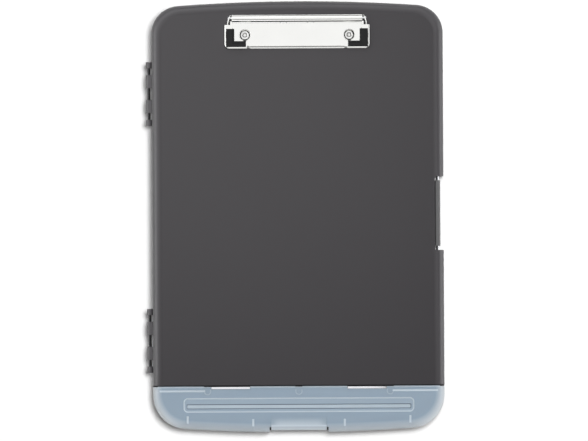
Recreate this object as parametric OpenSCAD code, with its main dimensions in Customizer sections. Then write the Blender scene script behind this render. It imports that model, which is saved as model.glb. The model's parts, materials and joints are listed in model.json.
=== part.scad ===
// Storage clipboard box: a shallow tray under a hinged writing lid with a low-profile clip,
// and a hinged translucent lid over a pen bay at the foot.
// Lengths are in millimetres. +Z is up, +Y is towards the clip, and the origin is
// on the underside of the tray, at the centre of its outline.

/* [Case] */
// Width of the case across its straight sides
case_w = 249; // [246:0.5:254]
// Length of the case along its centre line
case_l = 368.4; // [366:0.2:372]
// Radius of the gentle bow along both ends
bow_r = 1450; // [1300:10:2000]
// Corner radius at the clip end
clip_corner_r = 24; // [20:0.5:27]
// Corner radius at the pen end
pen_corner_r = 29; // [26:0.5:31]
// Height of the tray
tray_h = 20; // [19:0.5:24]
// Height of the closed case, up to the writing surface
case_h = 30; // [29.5:0.5:34]
// Thickness of the moulded walls
wall = 2.4; // [2:0.1:2.6]
// Thickness of the tray's floor
floor_t = 2.4; // [2:0.1:3]
// Gap between the tray's edge and the lids
seam_gap = 0.3; // [0.2:0.05:0.4]
// Width of the rounding along the lids' top edges
edge_w = 6.5; // [5:0.5:7]
// Height of the rounding along the lids' top edges
edge_h = 5.6; // [4:0.2:6]

/* [Side hinges] */
// Distance of the hinge axis outside the case's side
hinge_out = 2.4; // [2.3:0.1:2.8]
// Distance of each hinge's middle from the centre of the case
hinge_y = 105.5; // [95:0.5:115]
// Radius of the hinge barrels
barrel_r = 2.6; // [2.3:0.1:2.8]
// Radius of the hinge rods
rod_r = 1.3; // [1.1:0.1:1.4]
// Radial clearance of a rod in its bore
bore_gap = 0.05; // [0.03:0.01:0.08]

/* [Side latch] */
// Middle of the latch notch along the side
latch_y = 2.5; // [-10:0.5:10]
// Length of the notch in the side
notch_l = 63; // [61:0.5:70]
// Depth of the notch from the side of the case
notch_d = 7.5; // [7.5:0.1:8]
// Length of the latch bar
latch_l = 56.2; // [50:0.2:58]
// Height of the latch pivot above the table
latch_pivot_z = 4.8; // [4.6:0.1:5.5]

/* [Pen lid] */
// Place along the case of the writing lid's foot
lid_end_y = -143.8; // [-145:0.1:-143]
// Distance from the writing lid's foot to the pen lid's hinge axis
pen_axis_back = 2.7; // [2.7:0.1:3]
// Radius of the pen lid's hinge rods
pen_rod_r = 1.1; // [1:0.05:1.15]
// Length of the pen groove in the lid
groove_l = 197; // [170:1:200]
// Width of the pen groove
groove_w = 12.4; // [11:0.2:13]
// Width of the snap tab
tab_w = 47.4; // [40:0.2:50]

/* [Clip] */
// Length of the clip from flange to flange
clip_w = 125; // [122:0.5:127]
// Place of the clip's axle along the case
axle_y = 169.6; // [169:0.1:170.5]
// Radius of the rolled hood over the axle
hood_r = 3.2; // [3.1:0.05:3.3]
// Thickness of the clip's sheet steel
sheet = 0.9; // [0.8:0.05:1]
// Distance of each rivet from the middle of the clip
rivet_x = 44.5; // [44:0.1:45]
// Place of the rivets along the case
rivet_y = 155.2; // [155:0.1:155.6]

/* [Hidden] */

$fn = 48;
thin = 0.05;
corner_steps = 8;
bow_steps = 12;
edge_steps = 5;

half_w = case_w / 2;
half_l = case_l / 2;
lid_z = tray_h + seam_gap;
reach = 400;

// Side hinge: the axis lies level with the seam, so the open lid lies flat beside the tray.
hinge_x = -half_w - hinge_out;
hinge_z = tray_h + seam_gap / 2;
barrel_in = [5, 16.3];
barrel_out = [22, 27.3];
rod_half = 27.2;
scallop_r = barrel_r + 0.3;
scallop_end = 0.3;

// Latch recess and bar.
notch_x = half_w - notch_d;
notch_y0 = latch_y - notch_l / 2;
notch_y1 = latch_y + notch_l / 2;
cheek = 3.5;
latch_x0 = notch_x + 0.3;
latch_x1 = half_w - 3.3;
latch_t = 3;
latch_barrel_r = 2.3;
latch_pin_r = 1.2;
latch_x = latch_x1 - latch_t / 2;
latch_top = case_h - 1;
latch_head_h = 5.5;
nose_z = 24.4;
nose_h = 1.8;
nose_gap = 0.12;
nose_l = 45;

// Cross wall and pen lid.
cross_y0 = lid_end_y - 4.6;
cross_y1 = lid_end_y + wall;
pen_axis_y = lid_end_y - pen_axis_back;
pen_bead_r = 2;
pen_axis_z = case_h - pen_bead_r - 0.1;
pen_plate_t = 2;
pen_rear_y = pen_axis_y + 1.4;
pen_bead_half = 120.6;
pen_wall_half = 118;
pen_window = [41.5, 75];
pen_lug_x = 78;
pen_lug_t = 4;
pen_notch_w = 6;
pen_notch_y = pen_axis_y - 5.5;
pen_rod_end = 92;
groove_y = pen_axis_y - 14.2;
groove_steps = [[0, 1.2], [1.6, 2.2], [4.2, 3.2]];
groove_floor = 1.8;

// Snap tab at the foot of the pen lid.
tab_slit = 2.8;
tab_inset = 0.9;
tab_t = 2;
tab_z = 12;
ramp_y = -half_l + 14.6;
ramp_drop = 2.6;
slit_depth = 5.5;
catch_wall_y = -half_l + 4.4;
catch_z = 14.6;
catch_h = 1.6;

// Clip: heights above the table.
board_z = case_h;
axle_z = board_z + hood_r;
axle_r = 1.25;
jaw_top = board_z + 6.2;
jaw_half = clip_w / 2;
jaw_front = 143.6;
jaw_flange_end = 164;
jaw_rear = axle_y - hood_r - 0.4;
jaw_bottom = board_z + 1;
jaw_corner_r = 4;
jaw_mid = 43;
ear_in = jaw_half - 6.1;
ear_t = 1;
ear_r = 3;
hood_half = jaw_half - 6.8;
plate_front = rivet_y - 3.7;
plate_half = 52.3;
grip_x = [43.6, 53.5, 59.8];
grip_y = [144.8, 150.1, 160.6];
grip_lip = 0.7;
head_r = 3.75;
head_h = 1.1;
shank_r = 2.5;
eyelet_r = 1.85;
washer_r = 5.5;
washer_t = 0.8;
lid_plate_t = 2.4;
rivet_hole_r = shank_r + 0.05;
jaw_hole_r = 5;

// Torsion springs.
wire_r = 0.3;
coil_r = 1.8;
coil_turns = 8;
coil_pitch = 0.66;
coil_x = 9;
ring_sides = 6;
turn_steps = 14;

charcoal = [0.31, 0.31, 0.32];
frosted = [0.58, 0.65, 0.71];
latch_grey = [0.42, 0.42, 0.43];
chrome = [0.93, 0.93, 0.91];
steel = [0.72, 0.73, 0.74];
rubber = [0.1, 0.1, 0.1];

function arc_points(c, r, a0, a1, n, skip = 0) =
    [for (i = [skip:n - skip]) let (a = a0 + (a1 - a0) * i / n) [c[0] + r * cos(a), c[1] + r * sin(a)]];

// One end of the case's outline, from its right side round to its left side.
function end_points(r, inset) =
    let (
        cx = half_w - r,
        bow_y = half_l - bow_r,
        cy = bow_y + sqrt(pow(bow_r - r, 2) - cx * cx),
        a = atan2(cy - bow_y, cx)
    )
    concat(
        arc_points([cx, cy], r - inset, 0, a, corner_steps),
        arc_points([0, bow_y], bow_r - inset, a, 180 - a, bow_steps, 1),
        arc_points([-cx, cy], r - inset, 180 - a, 180, corner_steps)
    );

function case_points(inset) =
    concat(end_points(clip_corner_r, inset), [for (p = end_points(pen_corner_r, inset)) -p]);

module slab(inset, z0, z1) {
    translate([0, 0, z0]) linear_extrude(z1 - z0) polygon(case_points(inset));
}

// A box given by its corners.
module block(x, y, z) {
    translate([x[0], y[0], z[0]]) cube([x[1] - x[0], y[1] - y[0], z[1] - z[0]]);
}

module rod_x(r, x0, x1, y, z) {
    translate([x0, y, z]) rotate([0, 90, 0]) cylinder(r = r, h = x1 - x0);
}

module rod_y(r, y0, y1, x, z) {
    translate([x, y1, z]) rotate([90, 0, 0]) cylinder(r = r, h = y1 - y0);
}

module mirrored_x() {
    children();
    mirror([1, 0, 0]) children();
}

// The lids' solid form, with a quarter-round along the top edge.
module crowned_form(inset, top) {
    hull() {
        slab(inset, lid_z, lid_z + thin);
        for (i = [0:edge_steps]) {
            a = 90 * i / edge_steps;
            z = top - edge_h * (1 - sin(a));
            slab(inset + (edge_w - inset) * (1 - cos(a)), z - thin, z);
        }
    }
}

module tray_form() {
    hull() {
        slab(1.8, 0, thin);
        slab(0.5, 0.5, 0.5 + thin);
        slab(0, 1.8, tray_h);
    }
}

// The stretches along the side where one half of each hinge has its barrels.
module barrels(span, r, margin = 0) {
    for (side = [-1, 1], end = [-1, 1]) {
        near = side * hinge_y + end * (span[0] - margin);
        far = side * hinge_y + end * (span[1] + margin);
        rod_y(r, min(near, far), max(near, far), hinge_x, hinge_z);
    }
}

module barrel_arms(span, z0, z1) {
    for (side = [-1, 1], end = [-1, 1]) {
        near = side * hinge_y + end * span[0];
        far = side * hinge_y + end * span[1];
        block([hinge_x, -half_w + wall - 0.3], [min(near, far), max(near, far)], [z0, z1]);
    }
}

module rod_bores() {
    for (side = [-1, 1]) {
        rod_y(rod_r + bore_gap, side * hinge_y - rod_half - 1, side * hinge_y + rod_half + 1, hinge_x, hinge_z);
    }
}

module hinge_rod(side) {
    color(steel) rod_y(rod_r, side * hinge_y - rod_half, side * hinge_y + rod_half, hinge_x, hinge_z);
}

// Raised rim inside the tray's edge that centres the writing lid.
module locating_rim() {
    difference() {
        intersection() {
            union() {
                slab(wall - 0.6, tray_h - 3.2, tray_h);
                slab(wall + 0.4, tray_h - 3.2, tray_h + 1.8);
            }
            block([-reach, reach], [cross_y1 + 4, reach], [0, 2 * case_h]);
        }
        slab(wall + 1.5, 0, 2 * case_h);
        block([notch_x - wall - 1, reach], [notch_y0 - cheek - 1, notch_y1 + cheek + 1], [0, 2 * case_h]);
    }
}

module pen_lug(x) {
    y0 = pen_axis_y - pen_bead_r;
    y1 = pen_axis_y + pen_bead_r;
    block([x - pen_lug_t / 2, x + pen_lug_t / 2], [y0, y1], [tray_h - 1, pen_axis_z]);
    rod_x(pen_bead_r, x - pen_lug_t / 2, x + pen_lug_t / 2, pen_axis_y, pen_axis_z);
}

module base_tray() {
    color(charcoal) difference() {
        union() {
            difference() {
                tray_form();
                intersection() {
                    slab(wall, floor_t, tray_h + 1);
                    block([-reach, reach], [cross_y1, reach], [0, case_h]);
                }
                intersection() {
                    slab(wall, floor_t, tray_h + 1);
                    block([-reach, reach], [-reach, cross_y0], [0, case_h]);
                }
            }
            locating_rim();
            block([-pen_wall_half, pen_wall_half], [cross_y0, pen_axis_y - 0.1],
                [tray_h - 1, pen_axis_z - pen_bead_r - 0.4]);
            for (x = [-pen_lug_x, 0, pen_lug_x]) pen_lug(x);
            block([notch_x - wall, half_w - 2], [notch_y0 - cheek, notch_y1 + cheek], [1, tray_h]);
            block([-tab_w / 2 - tab_slit - wall, tab_w / 2 + tab_slit + wall],
                [-half_l + 2, catch_wall_y + wall], [1, tray_h]);
            barrels(barrel_out, barrel_r);
            barrel_arms(barrel_out, hinge_z - barrel_r, tray_h);
        }
        block([notch_x, reach], [notch_y0, notch_y1], [-1, case_h]);
        rod_y(latch_pin_r + bore_gap, notch_y0 - cheek - 1, notch_y1 + cheek + 1, latch_x, latch_pivot_z);
        block([-tab_w / 2 - tab_slit, tab_w / 2 + tab_slit], [-reach, catch_wall_y], [8, case_h]);
        barrels(barrel_in, scallop_r, scallop_end);
        rod_bores();
        rod_x(pen_rod_r + bore_gap, -pen_rod_end - 1, pen_rod_end + 1, pen_axis_y, pen_axis_z);
    }
    color(charcoal) block([-18, 18], [catch_wall_y - 0.9, catch_wall_y + 0.5], [catch_z, catch_z + catch_h]);
}

module lid_cavity() {
    intersection() {
        crowned_form(wall, case_h - lid_plate_t);
        block([-reach, reach], [lid_end_y + wall, reach], [0, case_h]);
    }
    intersection() {
        slab(wall, lid_z - 1, lid_z + 1);
        block([-reach, reach], [lid_end_y + wall, reach], [0, case_h]);
    }
}

module lid() {
    color(charcoal) difference() {
        union() {
            difference() {
                intersection() {
                    crowned_form(0, case_h);
                    block([-reach, reach], [lid_end_y, reach], [0, 2 * case_h]);
                }
                lid_cavity();
            }
            intersection() {
                crowned_form(0, case_h);
                block([notch_x - wall, reach], [notch_y0 - wall, notch_y1 + wall], [lid_z, case_h]);
            }
            barrels(barrel_in, barrel_r);
            barrel_arms(barrel_in, lid_z, hinge_z + barrel_r);
        }
        block([notch_x, reach], [notch_y0, notch_y1], [0, 2 * case_h]);
        block([notch_x - 1.6, notch_x + 1], [latch_y - nose_l / 2 - 2, latch_y + nose_l / 2 + 2],
            [nose_z - 0.5, nose_z + nose_h + 0.8]);
        barrels(barrel_out, scallop_r, scallop_end);
        rod_bores();
        for (side = [-1, 1]) translate([side * rivet_x, rivet_y, 0]) cylinder(r = rivet_hole_r, h = 2 * case_h);
    }
}

// The stepped pen groove: each step is a slot with round ends, deeper than the last.
module groove_cut() {
    for (s = groove_steps) {
        r = groove_w / 2 - s[0];
        x = groove_l / 2 - groove_w / 2;
        z = case_h - s[1];
        for (end = [-1, 1]) translate([end * x, groove_y, z]) cylinder(r = r, h = 10);
        block([-x, x], [groove_y - r, groove_y + r], [z, case_h + 10]);
    }
}

module snap_tab() {
    ramp_z = case_h - ramp_drop;
    front = -half_l + tab_inset;
    translate([-tab_w / 2, 0, 0]) rotate([90, 0, 90]) linear_extrude(tab_w) polygon([
        [ramp_y + 1, case_h], [ramp_y, case_h], [front + 1, ramp_z], [front, ramp_z - 1],
        [front, tab_z], [front + tab_t, tab_z], [front + tab_t, ramp_z - pen_plate_t],
        [ramp_y, case_h - pen_plate_t], [ramp_y + 1, case_h - pen_plate_t]
    ]);
    block([-16, 16], [front + tab_t - 0.1, catch_wall_y - 1], [tab_z, tab_z + 1.6]);
}

module pen_lid() {
    inner_z = case_h - pen_plate_t;
    color(frosted) difference() {
        union() {
            difference() {
                intersection() {
                    crowned_form(0, case_h);
                    block([-reach, reach], [-reach, pen_rear_y], [0, 2 * case_h]);
                }
                intersection() {
                    union() {
                        crowned_form(wall, inner_z);
                        slab(wall, lid_z - 1, lid_z + 1);
                    }
                    block([-reach, reach], [-reach, pen_rear_y + 1], [0, case_h]);
                }
                block([-tab_w / 2, tab_w / 2], [-reach, ramp_y], [0, 2 * case_h]);
                block([-tab_w / 2 - tab_slit, tab_w / 2 + tab_slit], [-reach, -half_l + slit_depth], [0, 2 * case_h]);
                block([-pen_bead_half, pen_bead_half], [pen_axis_y, reach], [0, 2 * case_h]);
            }
            snap_tab();
            rod_x(pen_bead_r, -pen_bead_half, pen_bead_half, pen_axis_y, pen_axis_z);
            block([-groove_l / 2 - wall, groove_l / 2 + wall],
                [groove_y - groove_w / 2 - wall, groove_y + groove_w / 2 + wall],
                [case_h - groove_steps[2][1] - groove_floor, case_h - 0.5]);
            mirrored_x() {
                block([38, 40.2], [-half_l + 1.8, -half_l + 11.2], [24, case_h - 0.5]);
                block([94, 96.2], [-half_l + 6.9, -half_l + 13.7], [24, case_h - 0.5]);
            }
        }
        groove_cut();
        mirrored_x() {
            block(pen_window, [pen_axis_y - pen_rod_r - 0.4, reach], [0, 2 * case_h]);
            block([pen_lug_x - pen_notch_w / 2, pen_lug_x + pen_notch_w / 2], [pen_notch_y, reach], [0, 2 * case_h]);
        }
        block([-pen_notch_w / 2, pen_notch_w / 2], [pen_notch_y, reach], [0, 2 * case_h]);
        rod_x(pen_rod_r + bore_gap, -pen_rod_end - 1, pen_rod_end + 1, pen_axis_y, pen_axis_z);
    }
}

module pen_hinge_rod(side) {
    x0 = side > 0 ? 0.2 : -pen_rod_end;
    x1 = side > 0 ? pen_rod_end : -0.2;
    color(steel) rod_x(pen_rod_r, x0, x1, pen_axis_y, pen_axis_z);
}

module side_latch() {
    y0 = latch_y - latch_l / 2;
    y1 = latch_y + latch_l / 2;
    color(latch_grey) difference() {
        union() {
            rod_y(latch_barrel_r, y0, y1, latch_x, latch_pivot_z);
            block([latch_x1 - latch_t, latch_x1], [y0, y1], [latch_pivot_z, latch_top]);
            block([latch_x0, latch_x1], [y0, y1], [latch_top - latch_head_h, latch_top]);
            block([notch_x + nose_gap, latch_x0 + 1], [latch_y - nose_l / 2, latch_y + nose_l / 2],
                [nose_z, nose_z + nose_h]);
        }
        rod_y(latch_pin_r + bore_gap, y0 - 1, y1 + 1, latch_x, latch_pivot_z);
    }
}

module latch_pin() {
    color(steel) rod_y(latch_pin_r, notch_y0 - cheek + 0.2, notch_y1 + cheek - 0.2, latch_x, latch_pivot_z);
}

// Clip base: a riveted plate whose rear edge is rolled up over the axle.
module clip_base_plate() {
    color(chrome) difference() {
        union() {
            block([-plate_half, plate_half], [plate_front, axle_y], [board_z, board_z + sheet]);
            block([-hood_half, hood_half], [162, axle_y], [board_z, board_z + sheet]);
            difference() {
                rod_x(hood_r, -hood_half, hood_half, axle_y, axle_z);
                rod_x(hood_r - sheet, -hood_half + sheet, hood_half - sheet, axle_y, axle_z);
            }
        }
        block([-hood_half + sheet, hood_half - sheet], [axle_y - 2 * hood_r, axle_y - 0.5],
            [board_z + sheet, axle_z + 0.8]);
        for (side = [-1, 1]) translate([side * rivet_x, rivet_y, 0]) cylinder(r = rivet_hole_r, h = 2 * case_h);
        rod_x(axle_r + bore_gap, -hood_half - 1, hood_half + 1, axle_y, axle_z);
    }
}

function jaw_points(inset) = let (w = jaw_half - inset, r = jaw_corner_r - inset, y = jaw_front + jaw_corner_r)
    concat(
        [[w, jaw_flange_end], [-w, jaw_flange_end]],
        arc_points([-jaw_half + jaw_corner_r, y], r, 180, 270, 6),
        arc_points([jaw_half - jaw_corner_r, y], r, 270, 360, 6)
    );

// Pressed front edge between the grips: down from the plate, then out into a finger lip.
module jaw_lip() {
    top = [[0, 0], [-0.9, -0.1], [-2.1, -1], [-3.6, -3.4], [-4.8, -4.4], [-6.2, -4.7], [-7.7, -4.4]];
    under = [[-7.7, -5.2], [-6.2, -5.6], [-4.4, -5.3], [-2.8, -3.9], [-1.4, -1.7], [-0.6, -1], [0, -0.9]];
    translate([-jaw_mid, jaw_front + 7.7, jaw_top]) rotate([90, 0, 90])
        linear_extrude(2 * jaw_mid) polygon(concat(top, under));
}

module clip_jaw() {
    color(chrome) difference() {
        union() {
            difference() {
                translate([0, 0, jaw_bottom]) linear_extrude(jaw_top - jaw_bottom) polygon(jaw_points(0));
                translate([0, 0, jaw_bottom - 1]) linear_extrude(jaw_top - jaw_bottom - sheet + 1)
                    polygon(jaw_points(sheet));
                block([-jaw_half + sheet, jaw_half - sheet], [jaw_flange_end - 2, jaw_rear],
                    [jaw_bottom - 1, jaw_top - sheet]);
                block([-jaw_mid, jaw_mid], [0, jaw_front + 7.6], [0, 2 * case_h]);
                mirrored_x() {
                    block([grip_x[0], grip_x[2]], [grip_y[0], grip_y[1]], [jaw_bottom, 2 * case_h]);
                    block([grip_x[1], grip_x[2]], [grip_y[0], grip_y[2]], [jaw_bottom, 2 * case_h]);
                }
            }
            block([-ear_in - ear_t, ear_in + ear_t], [jaw_flange_end - 1, jaw_rear], [jaw_top - sheet, jaw_top]);
            jaw_lip();
            mirrored_x() {
                block([ear_in, ear_in + ear_t], [grip_y[2] + 1.2, axle_y], [jaw_bottom + 0.2, jaw_top - sheet / 2]);
                rod_x(ear_r, ear_in, ear_in + ear_t, axle_y, axle_z);
            }
        }
        mirrored_x() {
            block([ear_in - 1, ear_in + ear_t + 1], [jaw_rear, reach], [axle_z + ear_r, 2 * case_h]);
            translate([rivet_x, rivet_y, 0]) cylinder(r = jaw_hole_r, h = 2 * case_h);
        }
        rod_x(axle_r + bore_gap, -jaw_half, jaw_half, axle_y, axle_z);
    }
}

module clip_axle() {
    end = ear_in + ear_t + 0.2;
    color(steel) {
        rod_x(axle_r, -end - 0.9, end + 0.9, axle_y, axle_z);
        mirrored_x() rod_x(axle_r + 0.8, end, end + 0.9, axle_y, axle_z);
    }
}

// Rubber corner grips: the top shows in the jaw's window and the lip below holds it in.
module jaw_grip() {
    z0 = jaw_bottom - 0.4;
    top = jaw_top - 0.3;
    lip_top = jaw_top - sheet - 0.02;
    y0 = grip_y[0] + 0.1;
    color(rubber) {
        block([grip_x[0] + 0.1, grip_x[2] - 0.1], [y0, grip_y[1] - 0.1], [z0, top]);
        block([grip_x[1] + 0.1, grip_x[2] - 0.1], [y0, grip_y[2] - 0.1], [z0, top]);
        block([grip_x[0], grip_x[2]], [y0, grip_y[1] + grip_lip], [z0, lip_top]);
        block([grip_x[1] - grip_lip, grip_x[2]], [y0, grip_y[2] + 0.6], [z0, lip_top]);
    }
}

module clip_rivet(side) {
    tail_z = case_h - lid_plate_t - washer_t;
    color(chrome) translate([side * rivet_x, rivet_y, 0]) difference() {
        union() {
            translate([0, 0, board_z + sheet]) cylinder(r = head_r, h = head_h);
            translate([0, 0, tail_z - 0.7]) cylinder(r = shank_r, h = board_z + sheet + head_h / 2 - tail_z + 0.7);
            translate([0, 0, tail_z - 0.7]) cylinder(r = head_r - 0.2, h = 0.7);
        }
        cylinder(r = eyelet_r, h = 2 * case_h);
    }
}

module rivet_washer(side) {
    color(steel) translate([side * rivet_x, rivet_y, case_h - lid_plate_t - washer_t]) difference() {
        cylinder(r = washer_r, h = washer_t);
        translate([0, 0, -1]) cylinder(r = rivet_hole_r, h = washer_t + 2);
    }
}

// The spring wire's centre line: a leg on the plate, the coil round the axle, a leg under the jaw.
function spring_path() =
    concat(
        [[0, axle_y - 11.5, axle_z - coil_r], [0, axle_y - 4, axle_z - coil_r]],
        [for (i = [0:turn_steps * coil_turns + 3]) let (a = 270 - i * 360 / turn_steps)
            [i * coil_pitch / turn_steps, axle_y + coil_r * cos(a), axle_z + coil_r * sin(a)]],
        [[coil_turns * coil_pitch, axle_y - 2.6, axle_z + 0.1], [coil_turns * coil_pitch, axle_y - 5, axle_z + 0.3],
            [coil_turns * coil_pitch, axle_y - 11.5, axle_z + 1.5]]
    );

function unit(v) = v / norm(v);

// A round wire swept along a path that stays near a plane square to X.
module wire(path, r, sides) {
    last = len(path) - 1;
    rings = [for (i = [0:last])
        let (
            t = unit(path[min(i + 1, last)] - path[max(i - 1, 0)]),
            u = unit([1, 0, 0] - t[0] * t),
            v = cross(t, u)
        )
        for (k = [0:sides - 1]) path[i] + r * (cos(360 * k / sides) * u + sin(360 * k / sides) * v)];
    sides_faces = [for (i = [0:last - 1], k = [0:sides - 1]) let (n = (k + 1) % sides)
        [i * sides + k, i * sides + n, (i + 1) * sides + n, (i + 1) * sides + k]];
    ends = [[for (k = [sides - 1:-1:0]) k], [for (k = [0:sides - 1]) last * sides + k]];
    polyhedron(rings, concat(sides_faces, ends));
}

module clip_spring() {
    color(steel) translate([coil_x, 0, 0]) wire(spring_path(), wire_r, ring_sides);
}

base_tray();
lid();
pen_lid();
side_latch();
hinge_rod(1);  // hinge_rod_upper
hinge_rod(-1);  // hinge_rod_lower
latch_pin();
pen_hinge_rod(-1);  // pen_hinge_rod_left
pen_hinge_rod(1);  // pen_hinge_rod_right
clip_base_plate();
clip_jaw();
clip_axle();
mirror([1, 0, 0]) clip_spring();  // clip_spring_left
clip_spring();  // clip_spring_right
clip_rivet(-1);  // clip_rivet_left
clip_rivet(1);  // clip_rivet_right
rivet_washer(-1);  // rivet_washer_left
rivet_washer(1);  // rivet_washer_right
mirror([1, 0, 0]) jaw_grip();  // jaw_grip_left
jaw_grip();  // jaw_grip_right
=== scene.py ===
# Storage clipboard box: a shallow paper tray under a hinged writing lid with a chromed clip,
# and a frosted lid over the pen bay at the foot. Sizes are in millimetres, +Y is towards the clip.
import json
from math import atan2, cos, pi, radians, sin, sqrt

import bmesh
import bpy
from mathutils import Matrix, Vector

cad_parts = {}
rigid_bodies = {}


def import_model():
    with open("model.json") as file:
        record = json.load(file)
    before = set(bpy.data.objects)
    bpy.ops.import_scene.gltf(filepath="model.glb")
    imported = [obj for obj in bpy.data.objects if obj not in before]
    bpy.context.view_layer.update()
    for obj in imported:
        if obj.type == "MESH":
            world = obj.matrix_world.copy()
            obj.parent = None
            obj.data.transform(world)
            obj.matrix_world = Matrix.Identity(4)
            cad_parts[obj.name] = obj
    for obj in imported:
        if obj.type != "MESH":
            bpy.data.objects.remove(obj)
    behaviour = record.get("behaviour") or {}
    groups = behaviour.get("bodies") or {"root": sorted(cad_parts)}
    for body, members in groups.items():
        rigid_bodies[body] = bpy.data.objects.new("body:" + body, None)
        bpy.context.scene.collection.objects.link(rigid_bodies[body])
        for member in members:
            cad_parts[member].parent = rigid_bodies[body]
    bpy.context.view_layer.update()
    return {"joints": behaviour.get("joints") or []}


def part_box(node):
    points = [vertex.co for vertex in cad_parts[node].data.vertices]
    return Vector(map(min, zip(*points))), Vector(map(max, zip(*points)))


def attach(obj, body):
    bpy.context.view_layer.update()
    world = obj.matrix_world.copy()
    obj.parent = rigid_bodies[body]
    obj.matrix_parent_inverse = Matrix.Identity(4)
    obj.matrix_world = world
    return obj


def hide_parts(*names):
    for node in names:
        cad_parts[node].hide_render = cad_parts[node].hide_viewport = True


for leftover in list(bpy.data.objects):
    bpy.data.objects.remove(leftover)
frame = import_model()
mm = 0.001
scene = bpy.context.scene


def nodeBox(node):
    low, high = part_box(node)
    return low / mm, high / mm


jointAt = {joint["name"]: Vector(joint["pos_m"]) / mm for joint in frame["joints"]}
lidLow, lidHigh = nodeBox("lid")
halfWidth = lidHigh.x
halfLength = lidHigh.y
print("frame loaded: case", round(2 * halfWidth, 1), "x", round(2 * halfLength, 1), "mm")


def addObject(name, data):
    thing = bpy.data.objects.new(name, data)
    scene.collection.objects.link(thing)
    return thing


def feed(tree, socket, value):
    # puts a number, a colour or another node's output into a shader socket
    if isinstance(value, bpy.types.NodeSocket):
        tree.links.new(value, socket)
    elif isinstance(value, tuple):
        socket.default_value = (*value, 1.0)
    elif value is not None:
        socket.default_value = value


def mathNode(tree, operation, a, b=None, clamp=False):
    node = tree.nodes.new("ShaderNodeMath")
    node.operation = operation
    node.use_clamp = clamp
    for socket, value in zip(node.inputs, (a, b)):
        feed(tree, socket, value)
    return node.outputs[0]


def mixColour(tree, factor, a, b):
    mix = tree.nodes.new("ShaderNodeMix")
    mix.data_type = "RGBA"
    for label, value in (("Factor", factor), ("A", a), ("B", b)):
        feed(tree, mix.inputs[label], value)
    return mix.outputs["Result"]


def newMaterial(name, settings):
    material = bpy.data.materials.new(name)
    material.use_nodes = True
    shader = material.node_tree.nodes["Principled BSDF"]
    for socket, value in settings.items():
        shader.inputs[socket].default_value = value
    return material, material.node_tree, shader


# the camera looks straight down from far above, so that the walls hardly show
cameraLook = {
    "centre": (-3.4, -3.2),  # point under the middle of the picture
    "shownWidth": 502.7,  # width of the picture at that level
    "level": 22.0,
    "distance": 8000.0,
    "roll": -0.3,  # degrees
    "sensor": 36.0,
    "clip": (0.01, 50.0),  # nearest and furthest that is drawn, in metres
}
lightSetup = {
    # sky strength against the height of the direction, from the horizon (0) to straight up (1)
    "sky": ((0.0, 0.20), (0.60, 0.20), (0.88, 0.16), (1.0, 0.14)),
    "floorColour": (0.93, 0.93, 0.93),
    "floorRoughness": 0.9,
    "floorLift": 0.06,  # glow that keeps the plain floor white for the camera
    "floorHalf": 6.0,  # metres
    "floorLevel": -0.03,  # just under the feet
}
# name, position, aimed at, width, length, power, and what it lights; all in metres and watts
lamps = [
    ("keyBox", (0.66, 0.64, 6.0), (0.0, 0.0, 0.02), 1.4, 1.4, 342.0, "diffuse"),
    ("overBox", (-0.28, 0.34, 0.57), (-0.28, 0.34, 0.0), 0.9, 0.9, 2.15, "glossy"),
    ("rightStrip", (0.9, 0.0, 0.3), (0.10, 0.0, 0.02), 1.0, 0.4, 3.0, "glossy"),
    ("topStrip", (0.0, 1.05, 0.8), (0.0, 0.15, 0.02), 1.2, 0.4, 1.7, "glossy"),
    ("footStrip", (0.0, -1.0, 0.5), (0.0, 0.0, 0.02), 1.2, 0.7, 2.8, "glossy"),
    ("leftStrip", (-0.95, 0.0, 0.5), (-0.10, 0.0, 0.02), 0.9, 0.5, 4.0, "glossy"),
]


def addCamera():
    look = cameraLook
    camera = addObject("camera", bpy.data.cameras.new("camera"))
    camera.data.sensor_width = look["sensor"]
    camera.data.lens = look["sensor"] * look["distance"] / look["shownWidth"]
    camera.data.clip_start, camera.data.clip_end = look["clip"]
    camera.location = Vector((*look["centre"], look["level"] + look["distance"])) * mm
    camera.rotation_euler = (0.0, 0.0, radians(look["roll"]))
    scene.camera = camera


def addLamps():
    for name, place, aim, width, length, power, use in lamps:
        data = bpy.data.lights.new(name, "AREA")
        data.shape = "RECTANGLE"
        data.size = width
        data.size_y = length
        data.energy = power
        lamp = addObject(name, data)
        lamp.location = place
        lamp.rotation_euler = (Vector(aim) - Vector(place)).to_track_quat("-Z", "Y").to_euler()
        lamp.visible_diffuse = use == "diffuse"
        lamp.visible_glossy = use == "glossy"


def addSky():
    world = bpy.data.worlds.new("studioSky")
    scene.world = world
    world.use_nodes = True
    tree = world.node_tree
    coords = tree.nodes.new("ShaderNodeTexCoord")
    split = tree.nodes.new("ShaderNodeSeparateXYZ")
    ramp = tree.nodes.new("ShaderNodeValToRGB")
    stops = ramp.color_ramp.elements
    while len(stops) < len(lightSetup["sky"]):
        stops.new(0.5)
    for stop, (height, strength) in zip(stops, lightSetup["sky"]):
        stop.position = height
        stop.color = (strength, strength, strength, 1.0)
    path = tree.nodes.new("ShaderNodeLightPath")
    seen = mixColour(tree, path.outputs["Is Camera Ray"], ramp.outputs["Color"], (1.0, 1.0, 1.0))
    tree.links.new(coords.outputs["Generated"], split.inputs[0])
    tree.links.new(split.outputs["Z"], ramp.inputs["Fac"])
    tree.links.new(seen, tree.nodes["Background"].inputs["Color"])


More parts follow.
